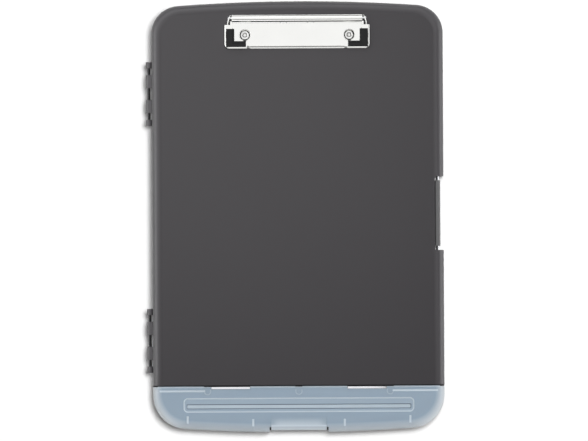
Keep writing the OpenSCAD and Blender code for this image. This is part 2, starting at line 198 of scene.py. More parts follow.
def addFloor():
    half, level = lightSetup["floorHalf"], lightSetup["floorLevel"] * mm
    mesh = bpy.data.meshes.new("floor")
    corners = [(-half, -half, level), (half, -half, level), (half, half, level), (-half, half, level)]
    mesh.from_pydata(corners, [], [(0, 1, 2, 3)])
    floor = addObject("floor", mesh)
    settings = {
        "Base Color": (*lightSetup["floorColour"], 1.0),
        "Roughness": lightSetup["floorRoughness"],
        "Specular IOR Level": 0.0,
        "Emission Color": (1.0, 1.0, 1.0, 1.0),
    }
    material, tree, shader = newMaterial("paleFloor", settings)
    path = tree.nodes.new("ShaderNodeLightPath")
    seen = mathNode(tree, "ADD", path.outputs["Is Camera Ray"], path.outputs["Is Glossy Ray"], True)
    seen = mathNode(tree, "ADD", seen, path.outputs["Is Transmission Ray"], True)
    lift = mathNode(tree, "MULTIPLY", seen, lightSetup["floorLift"])
    tree.links.new(lift, shader.inputs["Emission Strength"])
    mesh.materials.append(material)


scene.view_settings.view_transform = "Standard"
addCamera()
addLamps()
addSky()
addFloor()
print("camera, lamps and floor ready")


# where a flat outline's two directions and its depth lie, for each axis that it is pushed along
axisOrder = {
    "x": lambda u, v, w: (w, u, v),
    "y": lambda u, v, w: (u, w, v),
    "z": lambda u, v, w: (u, v, w),
}
turnOrder = {**axisOrder, "y": lambda u, v, w: (v, w, u)}  # the same for turned parts
reach = 400.0  # past any part of the case
acrossAll = (-reach, reach)
throughAll = (-1, 60)  # from below the foot to above the clip
sides = {"left": -1, "right": 1}
edgeForm = {
    "weld": 0.004,  # points nearer than this become one
    "softAngle": 35.0,  # edges sharper than this are rounded, in degrees
}


def meshPiece(name, build):
    work = bmesh.new()
    build(work)
    bmesh.ops.recalc_face_normals(work, faces=work.faces)
    mesh = bpy.data.meshes.new(name)
    work.to_mesh(mesh)
    work.free()
    return addObject(name, mesh)


def stitch(work, rings, closed=True):
    # skin between rings of points in millimetres, joined one to the next
    loops = [[work.verts.new(Vector(point) * mm) for point in ring] for ring in rings]
    count = len(loops[0])
    for low, high in zip(loops, loops[1:]):
        for i in range(count if closed else count - 1):
            j = (i + 1) % count
            work.faces.new((low[i], low[j], high[j], high[i]))
    return loops


def capEnds(work, loops):
    work.faces.new(list(reversed(loops[0])))
    work.faces.new(loops[-1])


def loft(name, rings):
    return meshPiece(name, lambda work: capEnds(work, stitch(work, rings)))


def prism(outline, start, end, axis="z"):
    # a flat outline pushed along an axis
    place = axisOrder[axis]
    return loft("part", [[place(u, v, at) for u, v in outline] for at in (start, end)])


def arc(cu, cv, radius, fromDeg, toDeg, steps):
    return [
        (cu + radius * cos(radians(a)), cv + radius * sin(radians(a)))
        for a in (fromDeg + (toDeg - fromDeg) * i / steps for i in range(steps + 1))
    ]


def roundRect(u0, u1, v0, v1, radius, steps=5):
    corners = [(u1 - radius, v1 - radius, 0), (u0 + radius, v1 - radius, 90)]
    corners += [(u0 + radius, v0 + radius, 180), (u1 - radius, v0 + radius, 270)]
    return [p for cu, cv, a in corners for p in arc(cu, cv, radius, a, a + 90, steps)]


def disc(cu, cv, radius, steps=40):
    return arc(cu, cv, radius, 0, 360, steps)[:-1]


def block(x, y, z, radius=0.0, axis="z"):
    # box between pairs of limits; radius rounds the four edges that run along the axis
    (u0, u1), (v0, v1), (w0, w1) = {"x": (y, z, x), "y": (x, z, y), "z": (x, y, z)}[axis]
    outline = roundRect(u0, u1, v0, v1, radius) if radius else [(u0, v0), (u1, v0), (u1, v1), (u0, v1)]
    return prism(outline, w0, w1, axis)


def lathe(name, profile, middle, axis="z", steps=48):
    # profile of (radius, height) turned about an axis through middle; radius 0 closes an end
    place = turnOrder[axis]

    def build(work):
        rings = []
        for radius, height in profile:
            ring = []
            for i in range(steps):
                a = 2 * pi * i / steps
                ring.append(Vector(place(radius * cos(a), radius * sin(a), height)) + Vector(middle))
            rings.append(ring)
        loops = stitch(work, rings)
        if profile[0] != profile[-1]:
            capEnds(work, loops)
        bmesh.ops.remove_doubles(work, verts=work.verts, dist=1e-7)

    return meshPiece(name, build)


def roundedRod(name, start, end, radius, axis):
    chamfer = 0.25
    eased = 0.3 * chamfer  # point between the two ends of the chamfer, outside its straight line
    length = (Vector(end) - Vector(start)).length
    tip = [(radius - chamfer, 0.0), (radius - eased, eased), (radius, chamfer)]
    profile = tip + [(r, length - at) for r, at in reversed(tip)]
    return lathe(name, profile, start, axis, 32)


def settle(piece):
    # turns the piece's modifiers into its mesh
    graph = bpy.context.evaluated_depsgraph_get()
    mesh = bpy.data.meshes.new_from_object(piece.evaluated_get(graph))
    piece.modifiers.clear()
    piece.data = mesh
    return piece


def merge(target, others, operation):
    for other in others:
        step = target.modifiers.new("merge", "BOOLEAN")
        step.operation = operation
        step.solver = "MANIFOLD"
        step.object = other
        settle(target)
        bpy.data.objects.remove(other)
    return target


def cut(target, *others):
    return merge(target, others, "DIFFERENCE")


def add(target, *others):
    return merge(target, others, "UNION")


def keep(target, *others):
    return merge(target, others, "INTERSECT")


def tidyMesh(piece):
    near = edgeForm["weld"] * mm
    work = bmesh.new()
    work.from_mesh(piece.data)
    bmesh.ops.remove_doubles(work, verts=work.verts, dist=near)
    bmesh.ops.dissolve_degenerate(work, edges=work.edges, dist=near)
    work.to_mesh(piece.data)
    work.free()


def dress(piece, name, body, nodes, slot, bevel=0.0, segments=2):
    # names the piece, gives it its finish, softens its edges and hangs it on its body
    piece.name = name
    tidyMesh(piece)
    piece.data.materials.clear()
    piece.data.materials.append(finishes[slot])
    piece.data.shade_smooth()
    if bevel:
        soft = piece.modifiers.new("softEdges", "BEVEL")
        soft.width = bevel * mm
        soft.segments = segments
        soft.limit_method = "ANGLE"
        soft.angle_limit = radians(edgeForm["softAngle"])
        soft.use_clamp_overlap = False
        soft.miter_outer = "MITER_ARC"
    evenNormals = piece.modifiers.new("evenNormals", "WEIGHTED_NORMAL")
    evenNormals.keep_sharp = True
    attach(piece, body)
    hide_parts(*nodes)
    return piece


# outline of the case, seen from above
caseForm = {
    "bowRadius": 1450.0,  # gentle bow along both ends
    "clipCorner": 24.0,
    "penCorner": 29.0,
    "cornerSteps": 18,
    "bowSteps": 24,
}


def endPoints(corner, inset):
    bow = caseForm["bowRadius"]
    cx = halfWidth - corner
    bowY = halfLength - bow
    cy = bowY + sqrt((bow - corner) ** 2 - cx * cx)
    turn = atan2(cy - bowY, cx) * 180 / pi
    points = arc(cx, cy, corner - inset, 0, turn, caseForm["cornerSteps"])
    points += arc(0, bowY, bow - inset, turn, 180 - turn, caseForm["bowSteps"])[1:-1]
    points += arc(-cx, cy, corner - inset, 180 - turn, 180, caseForm["cornerSteps"])
    return points


def casePoints(inset):
    foot = [(-x, -y) for x, y in endPoints(caseForm["penCorner"], inset)]
    return endPoints(caseForm["clipCorner"], inset) + foot


def caseLoft(name, profile):
    # profile is a list of (inset, height) from the bottom up
    return loft(name, [[(x, y, z) for x, y in casePoints(inset)] for inset, z in profile])


def quarterEdge(width, height, top, steps):
    # side wall turning over into the top face
    turns = [pi / 2 * i / steps for i in range(steps + 1)]
    return [(width * (1 - cos(a)), top - height * (1 - sin(a))) for a in turns]


def edgeRound(radius, steps, inset=0.0, z=0.0):
    # bottom corner of a wall, from the floor outwards and up
    turns = [pi / 2 * i / steps for i in range(steps + 1)]
    return [(inset + radius * (1 - sin(a)), z + radius * (1 - cos(a))) for a in turns]


# shader groups that the finishes share, with sizes in millimetres
grainDefaults = {"Grain Size": 0.5, "Cloud Size": 60.0, "Seed": 0.0}
grainDetail = {"Grain Size": 2.0, "Cloud Size": 3.0}
rimDefaults = {"Band Width": 6.5, "Corner": caseForm["penCorner"], "Softness": 1.0}
noiseRange = (0.3, 0.7)  # where nearly all of a noise's values lie


def newGroup(name, inputs, outputs):
    group = bpy.data.node_groups.new(name, "ShaderNodeTree")
    for label, value in inputs.items():
        socket = group.interface.new_socket(label, in_out="INPUT", socket_type="NodeSocketFloat")
        socket.default_value = value
    for label in outputs:
        group.interface.new_socket(label, in_out="OUTPUT", socket_type="NodeSocketFloat")
    return group, group.nodes.new("NodeGroupInput"), group.nodes.new("NodeGroupOutput")


def buildGrainGroup():
    # fine spark texture of a mould, with a slow cloud over it
    group, entry, leave = newGroup("mouldGrain", grainDefaults, ["Height", "Cloud"])
    coords = group.nodes.new("ShaderNodeTexCoord")
    for label, output in (("Grain Size", "Height"), ("Cloud Size", "Cloud")):
        noise = group.nodes.new("ShaderNodeTexNoise")
        noise.noise_dimensions = "4D"
        noise.inputs["Detail"].default_value = grainDetail[label]
        scale = mathNode(group, "DIVIDE", 1 / mm, entry.outputs[label])
        group.links.new(coords.outputs["Object"], noise.inputs["Vector"])
        group.links.new(entry.outputs["Seed"], noise.inputs["W"])
        group.links.new(scale, noise.inputs["Scale"])
        group.links.new(noise.outputs["Fac"], leave.inputs[output])
    return group


def buildRimGroup():
    # how near a point is to the case's outline: 1 on it, 0 past the band
    group, entry, leave = newGroup("rimBand", rimDefaults, ["Band"])
    width, corner, softness = (entry.outputs[label] for label in rimDefaults)

    def calc(operation, a, b=None, clamp=False):
        return mathNode(group, operation, a, b, clamp)

    coords = group.nodes.new("ShaderNodeTexCoord")
    split = group.nodes.new("ShaderNodeSeparateXYZ")
    group.links.new(coords.outputs["Object"], split.inputs[0])
    x = calc("MULTIPLY", split.outputs["X"], 1 / mm)
    y = calc("MULTIPLY", split.outputs["Y"], 1 / mm)
    sag = calc("DIVIDE", calc("MULTIPLY", x, x), 2 * caseForm["bowRadius"])
    yBowed = calc("ADD", calc("ABSOLUTE", y), sag)
    # distances past the corner's centre, and from them the depth inside the outline
    pastX = calc("SUBTRACT", calc("ABSOLUTE", x), calc("SUBTRACT", halfWidth, corner))
    pastY = calc("SUBTRACT", yBowed, calc("SUBTRACT", halfLength, corner))
    outX = calc("MAXIMUM", pastX, 0.0)
    outY = calc("MAXIMUM", pastY, 0.0)
    away = calc("SQRT", calc("ADD", calc("MULTIPLY", outX, outX), calc("MULTIPLY", outY, outY)))
    inside = calc("MINIMUM", calc("MAXIMUM", pastX, pastY), 0.0)
    depth = calc("SUBTRACT", corner, calc("ADD", away, inside))
    band = calc("DIVIDE", calc("SUBTRACT", width, depth), softness)
    group.links.new(calc("ADD", calc("MULTIPLY", band, 0.5), 0.5, True), leave.inputs["Band"])
    return group


grainGroup = buildGrainGroup()
rimGroup = buildRimGroup()


def placeGroup(tree, group, values):
    node = tree.nodes.new("ShaderNodeGroup")
    node.node_tree = group
    for label, value in values.items():
        node.inputs[label].default_value = value
    return node


def spread(tree, value, limits):
    # stretches a noise between two limits
    node = tree.nodes.new("ShaderNodeMapRange")
    labels = ("From Min", "From Max", "To Min", "To Max")
    for label, number in zip(labels, (*noiseRange, *limits)):
        node.inputs[label].default_value = number
    tree.links.new(value, node.inputs["Value"])
    return node.outputs["Result"]


def roughen(tree, shader, patches, limits, height, depth):
    # uneven gloss, and a fine relief of the given depth
    tree.links.new(spread(tree, patches, limits), shader.inputs["Roughness"])
    bump = tree.nodes.new("ShaderNodeBump")
    bump.inputs["Distance"].default_value = depth * mm
    bump.inputs["Strength"].default_value = 1.0
    tree.links.new(height, bump.inputs["Height"])
    tree.links.new(bump.outputs["Normal"], shader.inputs["Normal"])


def grainOf(tree, look):
    sizes = {"Grain Size": look["grainSize"], "Cloud Size": look["cloudSize"]}
    return placeGroup(tree, grainGroup, sizes).outputs


# dark and light are the ends of a slow drift in colour, roughness has its own two ends
plasticLooks = {
    "charcoalPlastic": {
        "slot": "charcoal_plastic",
        "dark": (0.0180, 0.0156, 0.0188),
        "light": (0.0192, 0.0168, 0.0200),
        "rim": (0.055, 0.052, 0.057),  # painted highlight: a paler band along the edges, for the light that the rounded edges catch
        "rimLightWidth": 5.3,
        "rimLightSoft": 2.4,
        "rimLightCorner": 26.0,
        "gloss": 0.98,
        "roughness": (0.45, 0.475),
        "grainSize": 0.45,
        "grainDepth": 0.010,
        "cloudSize": 70.0,
    },
    "latchPlastic": {
        "slot": "latch_plastic",
        "dark": (0.092, 0.092, 0.094),
        "light": (0.104, 0.104, 0.106),
        "gloss": 0.8,
        "roughness": (0.36, 0.42),
        "grainSize": 0.4,
        "grainDepth": 0.008,
        "cloudSize": 20.0,
    },
    "gripRubber": {
        "slot": "grip_rubber",
        "dark": (0.006, 0.006, 0.0065),
        "light": (0.010, 0.010, 0.0105),
        "gloss": 0.32,
        "roughness": (0.42, 0.55),
        "grainSize": 0.3,
        "grainDepth": 0.01,
        "cloudSize": 6.0,
    },
}


def mouldedPlastic(name, look):
    material, tree, shader = newMaterial(
        name, {"Specular IOR Level": look["gloss"], "IOR": 1.5, "Roughness": look["roughness"][0]}
    )
    grain = grainOf(tree, look)
    colour = mixColour(tree, grain["Cloud"], look["dark"], look["light"])
    # a paler band along the case's outline, painted highlight for the light on the rounded edges
    if "rim" in look:
        sizes = {"Band Width": look["rimLightWidth"], "Softness": look["rimLightSoft"], "Corner": look["rimLightCorner"]}
        rim = placeGroup(tree, rimGroup, sizes)
        colour = mixColour(tree, rim.outputs["Band"], colour, look["rim"])
    tree.links.new(colour, shader.inputs["Base Color"])
    roughen(tree, shader, grain["Cloud"], look["roughness"], grain["Height"], look["grainDepth"])
    return material


steelLooks = {
    "blackSteel": {
        "slot": "black_steel",
        "dark": (0.035, 0.035, 0.037),
        "light": (0.06, 0.06, 0.062),
        "roughness": (0.3, 0.4),
        "grainSize": 0.25,
        "cloudSize": 3.0,
        "waviness": 0.004,
    },
    "brightSteel": {
        "slot": "bright_steel",
        "dark": (0.78, 0.79, 0.82),
        "light": (0.86, 0.87, 0.9),
        "roughness": (0.14, 0.22),
        "grainSize": 0.25,
        "cloudSize": 4.0,
        "waviness": 0.002,
    },
    "clipChrome": {
        "slot": "clip_chrome",
        "dark": (0.90, 0.90, 0.88),
        "light": (0.95, 0.95, 0.93),
        "roughness": (0.05, 0.09),
        "grainSize": 0.2,
        "cloudSize": 14.0,
        "waviness": 0.02,
    },
    "rivetSteel": {
        "slot": "rivet_steel",
        "dark": (0.84, 0.84, 0.83),
        "light": (0.9, 0.9, 0.89),
        "roughness": (0.08, 0.14),
        "grainSize": 0.2,
        "cloudSize": 2.5,
        "waviness": 0.004,
    },
    "springSteel": {
        "slot": "spring_steel",
        "dark": (0.36, 0.36, 0.37),
        "light": (0.5, 0.5, 0.51),
        "roughness": (0.22, 0.32),
        "grainSize": 0.15,
        "cloudSize": 2.0,
        "waviness": 0.002,
    },
}


def steelFinish(name, look):
    material, tree, shader = newMaterial(name, {"Metallic": 1.0, "Roughness": look["roughness"][0]})
    grain = grainOf(tree, look)
    colour = mixColour(tree, grain["Cloud"], look["dark"], look["light"])
    tree.links.new(colour, shader.inputs["Base Color"])
    roughen(tree, shader, grain["Height"], look["roughness"], grain["Cloud"], look["waviness"])
    return material


frostedLook = {
    "slot": "frosted_plastic",
    "inner": (0.322, 0.405, 0.490),  # over the bay
    "rim": (0.72, 0.76, 0.79),  # painted light: paler band along the edge, where the skirt is seen edge-on
    "thick": (0.68, 0.76, 0.82),  # ribs, ridges, the bead and lit slopes: paler partly for thicker plastic, partly painted highlight
    "step": (0.12, 0.165, 0.215),  # painted shade on the walls of the groove and along the foot
    "band": 3.7,
    "bandSoft": 4.2,
    "alpha": 0.86,
    "plainRoughness": 0.34,
    "roughness": (0.30, 0.36),
    "grainSize": 0.35,
    "grainDepth": 0.006,
    "cloudSize": 30.0,
    "scatter": 0.38,
    "scatterReach": 0.0035,  # metres
}


def frostedPlastic():
    # the mesh carries a value that paints light and shade: above 0 paler, on thick places partly for the
    # thicker plastic and elsewhere as painted highlight; below 0 painted shade where the light is lost
    look = frostedLook
    settings = {
        "Specular IOR Level": 0.5,
        "IOR": 1.49,
        "Alpha": look["alpha"],
        "Roughness": look["plainRoughness"],
        "Subsurface Weight": look["scatter"],
        "Subsurface Radius": (1.0, 1.0, 1.0),
        "Subsurface Scale": look["scatterReach"],
    }
    material, tree, shader = newMaterial("frostedPlastic", settings)
    grain = grainOf(tree, look)
    rim = placeGroup(tree, rimGroup, {"Band Width": look["band"], "Softness": look["bandSoft"]})
    paintedLight = tree.nodes.new("ShaderNodeAttribute")
    paintedLight.attribute_name = "paintedLight"
    light = mathNode(tree, "MAXIMUM", paintedLight.outputs["Fac"], 0.0)
    dark = mathNode(tree, "MAXIMUM", mathNode(tree, "MULTIPLY", paintedLight.outputs["Fac"], -1.0), 0.0)
    # the paler band along the edge is painted light; the mesh's value then mixes in painted highlight and
    # painted shade
    base = mixColour(tree, rim.outputs["Band"], look["inner"], look["rim"])
    base = mixColour(tree, light, base, look["thick"])
    base = mixColour(tree, dark, base, look["step"])
    tree.links.new(base, shader.inputs["Base Color"])
    roughen(tree, shader, grain["Cloud"], look["roughness"], grain["Height"], look["grainDepth"])
    return material


finishes = {look["slot"]: mouldedPlastic(name, look) for name, look in plasticLooks.items()}
finishes.update({look["slot"]: steelFinish(name, look) for name, look in steelLooks.items()})
finishes[frostedLook["slot"]] = frostedPlastic()
print("materials ready:", len(finishes))


# side hinges, shared by the tray and the lid
hingeForm = {
    "middles": {"upper": 105.5, "lower": -105.5},
    "barrelRadius": 2.55,
    "rodRadius": 1.3,
    "rodHalf": 27.2,
    "boreGap": 0.06,
    "lidSpan": (5.0, 16.3),  # either side of each hinge's middle
    "traySpan": (22.0, 27.3),
    "clearRadius": 2.9,
    "clearEnd": 0.3,
    "webGap": 0.15,  # between each half's web and the height of the axis
    "webDepth": 2.0,  # how far the webs run into the wall
}
hingeX, hingeZ = jointAt["lid_hinge"].x, jointAt["lid_hinge"].z


def hingeSpans(span, margin=0.0):
    near, far = span
    for middle in hingeForm["middles"].values():
        for side in (-1, 1):
            yield sorted((middle + side * (near - margin), middle + side * (far + margin)))


def hingeKnuckles(span, up):
    # barrels with a web that runs into the case wall, above or below the axis
    r, gap = hingeForm["barrelRadius"], hingeForm["webGap"]
    wallX = -halfWidth + hingeForm["webDepth"]
    if up:
        outline = arc(hingeX, hingeZ, r, 90, 360, 24)
        outline += [(hingeX + r, hingeZ + gap), (wallX, hingeZ + gap), (wallX, hingeZ + r)]
    else:
        outline = arc(hingeX, hingeZ, r, 0, 270, 24)
        outline += [(wallX, hingeZ - r), (wallX, hingeZ - gap), (hingeX + r, hingeZ - gap)]
    return [prism(outline, y0, y1, "y") for y0, y1 in hingeSpans(span)]


def hingeClearance(span):
    outline = disc(hingeX, hingeZ, hingeForm["clearRadius"])
    return [prism(outline, y0, y1, "y") for y0, y1 in hingeSpans(span, hingeForm["clearEnd"])]


def hingeBores():
    bore = disc(hingeX, hingeZ, hingeForm["rodRadius"] + hingeForm["boreGap"], 28)
    half = hingeForm["traySpan"][1] + 2
    return [prism(bore, middle - half, middle + half, "y") for middle in hingeForm["middles"].values()]


# base tray
trayForm = {
    "height": 20.0,
    "wall": 2.4,
    "floor": 2.4,
    "bottomRound": 1.8,
    "innerRound": 1.6,
    "rimRise": 1.8,  # rim that centres the lid, above the tray's edge
    "rimDepth": 3.2,  # and below it, inside the wall
    "rimRoot": 1.8,  # from the outline to the rim's root, its outer face and its inner face
    "rimOuter": 2.8,
    "rimInner": 3.9,
    "rimLead": 0.3,
    "rimEndGap": 4.0,  # from the cross wall to the rim's ends
    "rimLatchGap": 1.0,
    "crossWall": (4.6, 2.4),  # how far it reaches on each side of the writing lid's foot
    "crossTop": 0.4,  # gap between the cross wall and the pen lid's bead
    "crossRound": 0.9,
    "notchRound": 1.2,
    "tabFloor": 8.0,  # bottom of the snap tab's recess
    "tabRound": 0.8,
    "tabNotch": 1.5,  # cut down to the foot below the tab
    "catchHalf": 18.0,  # ridge that the tab's nose snaps under
    # section of the ridge: from the recess's wall, and height
    "catchRidge": ((-0.9, 15.2), (0.5, 14.2), (0.5, 16.6), (-0.9, 15.9)),
    "panelDepth": 0.5,  # sunk panel under the tray
    "panelInset": 11.0,
    "panelSlope": (0.4, 0.2),  # slope round the panel, across and up
    "softEdge": 0.25,
}
latchForm = {
    "middle": jointAt["side_latch_hinge"].y,
    "notchLength": 63.0,
    "notchDepth": 7.5,
    "cheek": 3.5,
    "barLength": 56.2,
    "barrelRadius": 2.3,
    "pinRadius": 1.2,
    "pinShort": 0.2,  # how far each end of the pin stops short of its cheek's outer face
    "boreGap": 0.05,
    "thickness": 3.0,
    "top": 29.0,
    "headHeight": 5.5,
    "headGap": 0.3,  # between the hook and the notch's wall
    "headRounds": (1.5, 1.3, 0.4),  # outer top, inner top and tip of the hook
    "noseHeight": 1.8,
    "noseZ": 24.4,
    "noseLength": 45.0,
    "noseGap": 0.12,
    "slotDepth": 1.6,  # slot in the lid that the nose hooks into
    "slotBelow": 0.5,
    "slotAbove": 2.6,
    "slotEnd": 2.0,
    "slotRound": 0.4,
    "grooves": 3,  # shallow finger grooves on the outer face
    "grooveRadius": 1.0,
    "grooveLift": 0.75,  # from the face out to the groove's centre
    "grooveTop": 3.4,
    "groovePitch": 2.2,
    "grooveEnd": 8.0,
    "softEdge": 0.35,
}
penForm = {
    "lidEnd": lidLow.y,  # foot of the writing lid
    "axisRise": jointAt["pen_lid_hinge"].z,
    "axisY": jointAt["pen_lid_hinge"].y,
    "beadRadius": 2.0,
    "rodRadius": 1.1,
    "windowRod": 1.75,  # thicker stretch of the rods with a flat, seen in the windows
    "boreGap": 0.05,
    "boreHalf": 93.0,
    "beadHalf": 120.6,
    "wallHalf": 118.0,
    "window": (41.5, 75.0),
    "lugAt": (-78.0, 0.0, 78.0),
    "lugWidth": 4.0,
    "lugRadius": 1.45,
    "lugWeb": 0.75,
    "lugTurn": (-58, 238),  # round part of each lug, in degrees
    "notchWidth": 6.0,
    "rodGap": 0.2,  # from the middle to the end of each rod
    "rodEnd": 92.0,
    "tabWidth": 47.4,
    "tabSlit": 1.5,
    "catchDepth": 4.4,  # from the foot to the wall that the tab's nose snaps on
}
notchX = halfWidth - latchForm["notchDepth"]
notchY = [latchForm["middle"] + side * latchForm["notchLength"] / 2 for side in (-1, 1)]
crossY = (penForm["lidEnd"] - trayForm["crossWall"][0], penForm["lidEnd"] + trayForm["crossWall"][1])
axisY, axisZ = penForm["axisY"], penForm["axisRise"]
catchY = -halfLength + penForm["catchDepth"]


def aroundNotch(margin):
    return (notchY[0] - margin, notchY[1] + margin)


def penRodBore():
    bore = disc(axisY, axisZ, penForm["rodRadius"] + penForm["boreGap"], 24)
    return prism(bore, -penForm["boreHalf"], penForm["boreHalf"], "x")


def bayCut(y0, y1):
    wall, top = trayForm["wall"], trayForm["height"] + 8
    bay = caseLoft("bay", edgeRound(trayForm["innerRound"], 5, wall, trayForm["floor"]) + [(wall, top)])
    return keep(bay, block(acrossAll, (y0, y1), throughAll))


def trayRim():
    form = trayForm
    top, root, outer, lead = form["height"], form["rimRoot"], form["rimOuter"], form["rimLead"]
    crown = top + form["rimRise"]
    profile = [(root, top - form["rimDepth"]), (root, top - 0.1), (outer, top - 0.1)]
    profile += [(outer, crown - lead), (outer + lead, crown)]
    rim = caseLoft("rim", profile)
    cut(rim, caseLoft("rimInside", [(form["rimInner"], z) for z in throughAll]))
    keep(rim, block(acrossAll, (crossY[1] + form["rimEndGap"], reach), throughAll))
    gap = form["rimLatchGap"]
    besideLatch = (notchX - form["wall"] - gap, reach)
    return cut(rim, block(besideLatch, aroundNotch(latchForm["cheek"] + gap), throughAll))


def addCrossWall(tray):
    # wall under the pen lid's hinge, with its lugs
    top, half = trayForm["height"], penForm["wallHalf"]
    wallTop = axisZ - penForm["beadRadius"] - trayForm["crossTop"]
    add(tray, block((-half, half), (crossY[0], axisY - 0.1), (top - 1, wallTop), trayForm["crossRound"]))
    web, halfLug = penForm["lugWeb"], penForm["lugWidth"] / 2
    for x in penForm["lugAt"]:
        outline = arc(axisY, axisZ, penForm["lugRadius"], *penForm["lugTurn"], 28)
        outline += [(axisY - web, top - 1), (axisY + web, top - 1)]
        add(tray, prism(outline, x - halfLug, x + halfLug, "x"))


def addRecesses(tray):
    # recesses for the side latch and for the snap tab
    form = trayForm
    top, wall = form["height"], form["wall"]
    tabHalf = penForm["tabWidth"] / 2 + penForm["tabSlit"]
    across = (-tabHalf, tabHalf)
    add(tray, block((notchX - wall, halfWidth - 2), aroundNotch(latchForm["cheek"]), (1, top)))
    add(tray, block((-tabHalf - wall, tabHalf + wall), (-halfLength + 2, catchY + wall), (1, top)))
    cut(tray, block((notchX, reach), tuple(notchY), throughAll, form["notchRound"]))
    cut(tray, block(across, (-reach, catchY), (form["tabFloor"], 60), form["tabRound"], "x"))
    cut(tray, block(across, (-reach, -halfLength + form["tabNotch"]), throughAll))
    ridge = [(catchY + along, z) for along, z in form["catchRidge"]]
    add(tray, prism(ridge, -form["catchHalf"], form["catchHalf"], "x"))
    pinAt = jointAt["side_latch_hinge"]
    bore = disc(pinAt.x, pinAt.z, latchForm["pinRadius"] + latchForm["boreGap"], 24)
    cut(tray, prism(bore, *aroundNotch(latchForm["cheek"] + 1), "y"))


def buildTray():
    form = trayForm
    tray = caseLoft("tray", edgeRound(form["bottomRound"], 6) + [(0.0, form["height"])])
    cut(tray, bayCut(crossY[1], reach), bayCut(-reach, crossY[0]))
    add(tray, trayRim())
    addCrossWall(tray)
    addRecesses(tray)
    add(tray, *hingeKnuckles(hingeForm["traySpan"], False))
    cut(tray, *hingeClearance(hingeForm["lidSpan"]), *hingeBores())
    cut(tray, penRodBore())
    # sunk panel underneath, clear of the latch recess
    inset, depth = form["panelInset"], form["panelDepth"]
    across, fall = form["panelSlope"]
    cut(tray, caseLoft("panel", [(inset, -1), (inset, depth - fall), (inset + across, depth)]))
    return dress(tray, "trayShell", "tray", ["base_tray"], "charcoal_plastic", form["softEdge"])


tray = buildTray()
print("tray", len(tray.data.polygons))


# writing lid
lidForm = {
    "bottom": 20.3,
    "board": lidHigh.z,  # writing surface
    "edgeWidth": 5.4,
    "edgeHeight": 5.9,
    "beadRise": 0.32,  # raised bead round the writing surface
    "beadSlope": 3.4,
    "beadSteps": 6,
    "wall": 2.4,
    "plate": 2.4,
    "innerRound": 4.2,
    "notchRound": 1.0,
    "rivetX": 44.5,
    "rivetY": 155.2,
    "rivetHole": 2.55,
    "softEdge": 0.25,
}
board = lidForm["board"]


def easeStep(value):
    value = min(max(value, 0.0), 1.0)
    return value * value * (3 - 2 * value)


def beadProfile():
    form = lidForm
    top = board + form["beadRise"]
    profile = [(0.0, form["bottom"])] + quarterEdge(form["edgeWidth"], form["edgeHeight"], top, 12)
    for i in range(1, form["beadSteps"] + 1):
        share = i / form["beadSteps"]
        inset = form["edgeWidth"] + form["beadSlope"] * share
        profile.append((inset, top - form["beadRise"] * easeStep(share)))
    return profile


def hollow(form, alongY):
    # space under a lid's plate, between two limits along the case
    wall, radius = form["wall"], form["innerRound"]
    edge = quarterEdge(radius, radius, board - form["plate"], 8)
    profile = [(wall, form["bottom"] - 1)] + [(wall + inset, z) for inset, z in edge]
    return keep(caseLoft("inside", profile), block(acrossAll, alongY, throughAll))


def lidInside():
    wall = lidForm["wall"]
    inside = hollow(lidForm, (penForm["lidEnd"] + wall, reach))
    return cut(inside, block((notchX - wall, reach), aroundNotch(wall), throughAll))


def rivetMiddle(side):
    return (side * lidForm["rivetX"], lidForm["rivetY"], 0)


def rivetHole(side):
    # cutter for the rivet's hole through the clip and the lid
    return prism(disc(*rivetMiddle(side)[:2], lidForm["rivetHole"]), *throughAll)


def buildLid():
    form = lidForm
    lid = caseLoft("lid", beadProfile())
    keep(lid, block(acrossAll, (penForm["lidEnd"], reach), throughAll))
    cut(lid, lidInside())
    cut(lid, block((notchX, reach), tuple(notchY), throughAll, form["notchRound"]))
    # slot that the latch's nose hooks into
    half = latchForm["noseLength"] / 2 + latchForm["slotEnd"]
    middle, noseZ = latchForm["middle"], latchForm["noseZ"]
    slotX = (notchX - latchForm["slotDepth"], notchX + 1)
    slotZ = (noseZ - latchForm["slotBelow"], noseZ + latchForm["slotAbove"])
    cut(lid, block(slotX, (middle - half, middle + half), slotZ, latchForm["slotRound"], "y"))
    add(lid, *hingeKnuckles(hingeForm["lidSpan"], True))
    cut(lid, *hingeClearance(hingeForm["traySpan"]), *hingeBores())
    cut(lid, rivetHole(-1), rivetHole(1))
    return dress(lid, "writingLid", "writing_lid", ["lid"], "charcoal_plastic", form["softEdge"])


lid = buildLid()
print("writing lid", len(lid.data.polygons))


# pen lid
penLidForm = {
    "bottom": 20.3,
    "plate": 2.0,
    "wall": 2.2,
    "innerRound": 4.4,
    "edgeWidth": 6.5,
    "edgeHeight": 5.6,
    "rearEdge": 1.4,  # behind the hinge axis
    "pocketLength": 5.5,  # from the hinge axis to the foot of each lug pocket
    "pocketRound": 1.2,
    "pocketSkin": 0.5,  # thin skin left over each pocket
    "skinTurn": (40, 110),  # part of the lug that the bead covers, in degrees
    "lugGap": 0.15,  # between the lug and that cover
    "trough": {"half": 98.5, "y": (-166.9, -154.5), "radius": 3.6, "slope": 1.0, "depth": 1.1},
    "channel": {"half": 96.4, "y": (-164.5, -159.5), "radius": 1.4, "slope": 1.0, "depth": 2.5},
    "thickMargin": 2.0,  # thick floor round and under the trough and its channel
    "thickFloor": 1.6,
    "ridge": 0.22,  # height of the raised lines
    "sideRidge": {"x": (80.0, 119.0), "y": (-149.4, -147.9)},
    "archWidth": 0.75,
    "archLeg": 1.6,
    "archBack": 2.6,  # from the hinge axis to the centre of each arch
    "ribs": ((39.1, 1.8, 11.4), (95.1, 6.9, 14.2)),  # x, and start and end behind the foot
    "ribHalf": 0.9,
    "slitDepth": 4.6,
    "slitRound": 0.8,
    "softEdge": 0.15,
}
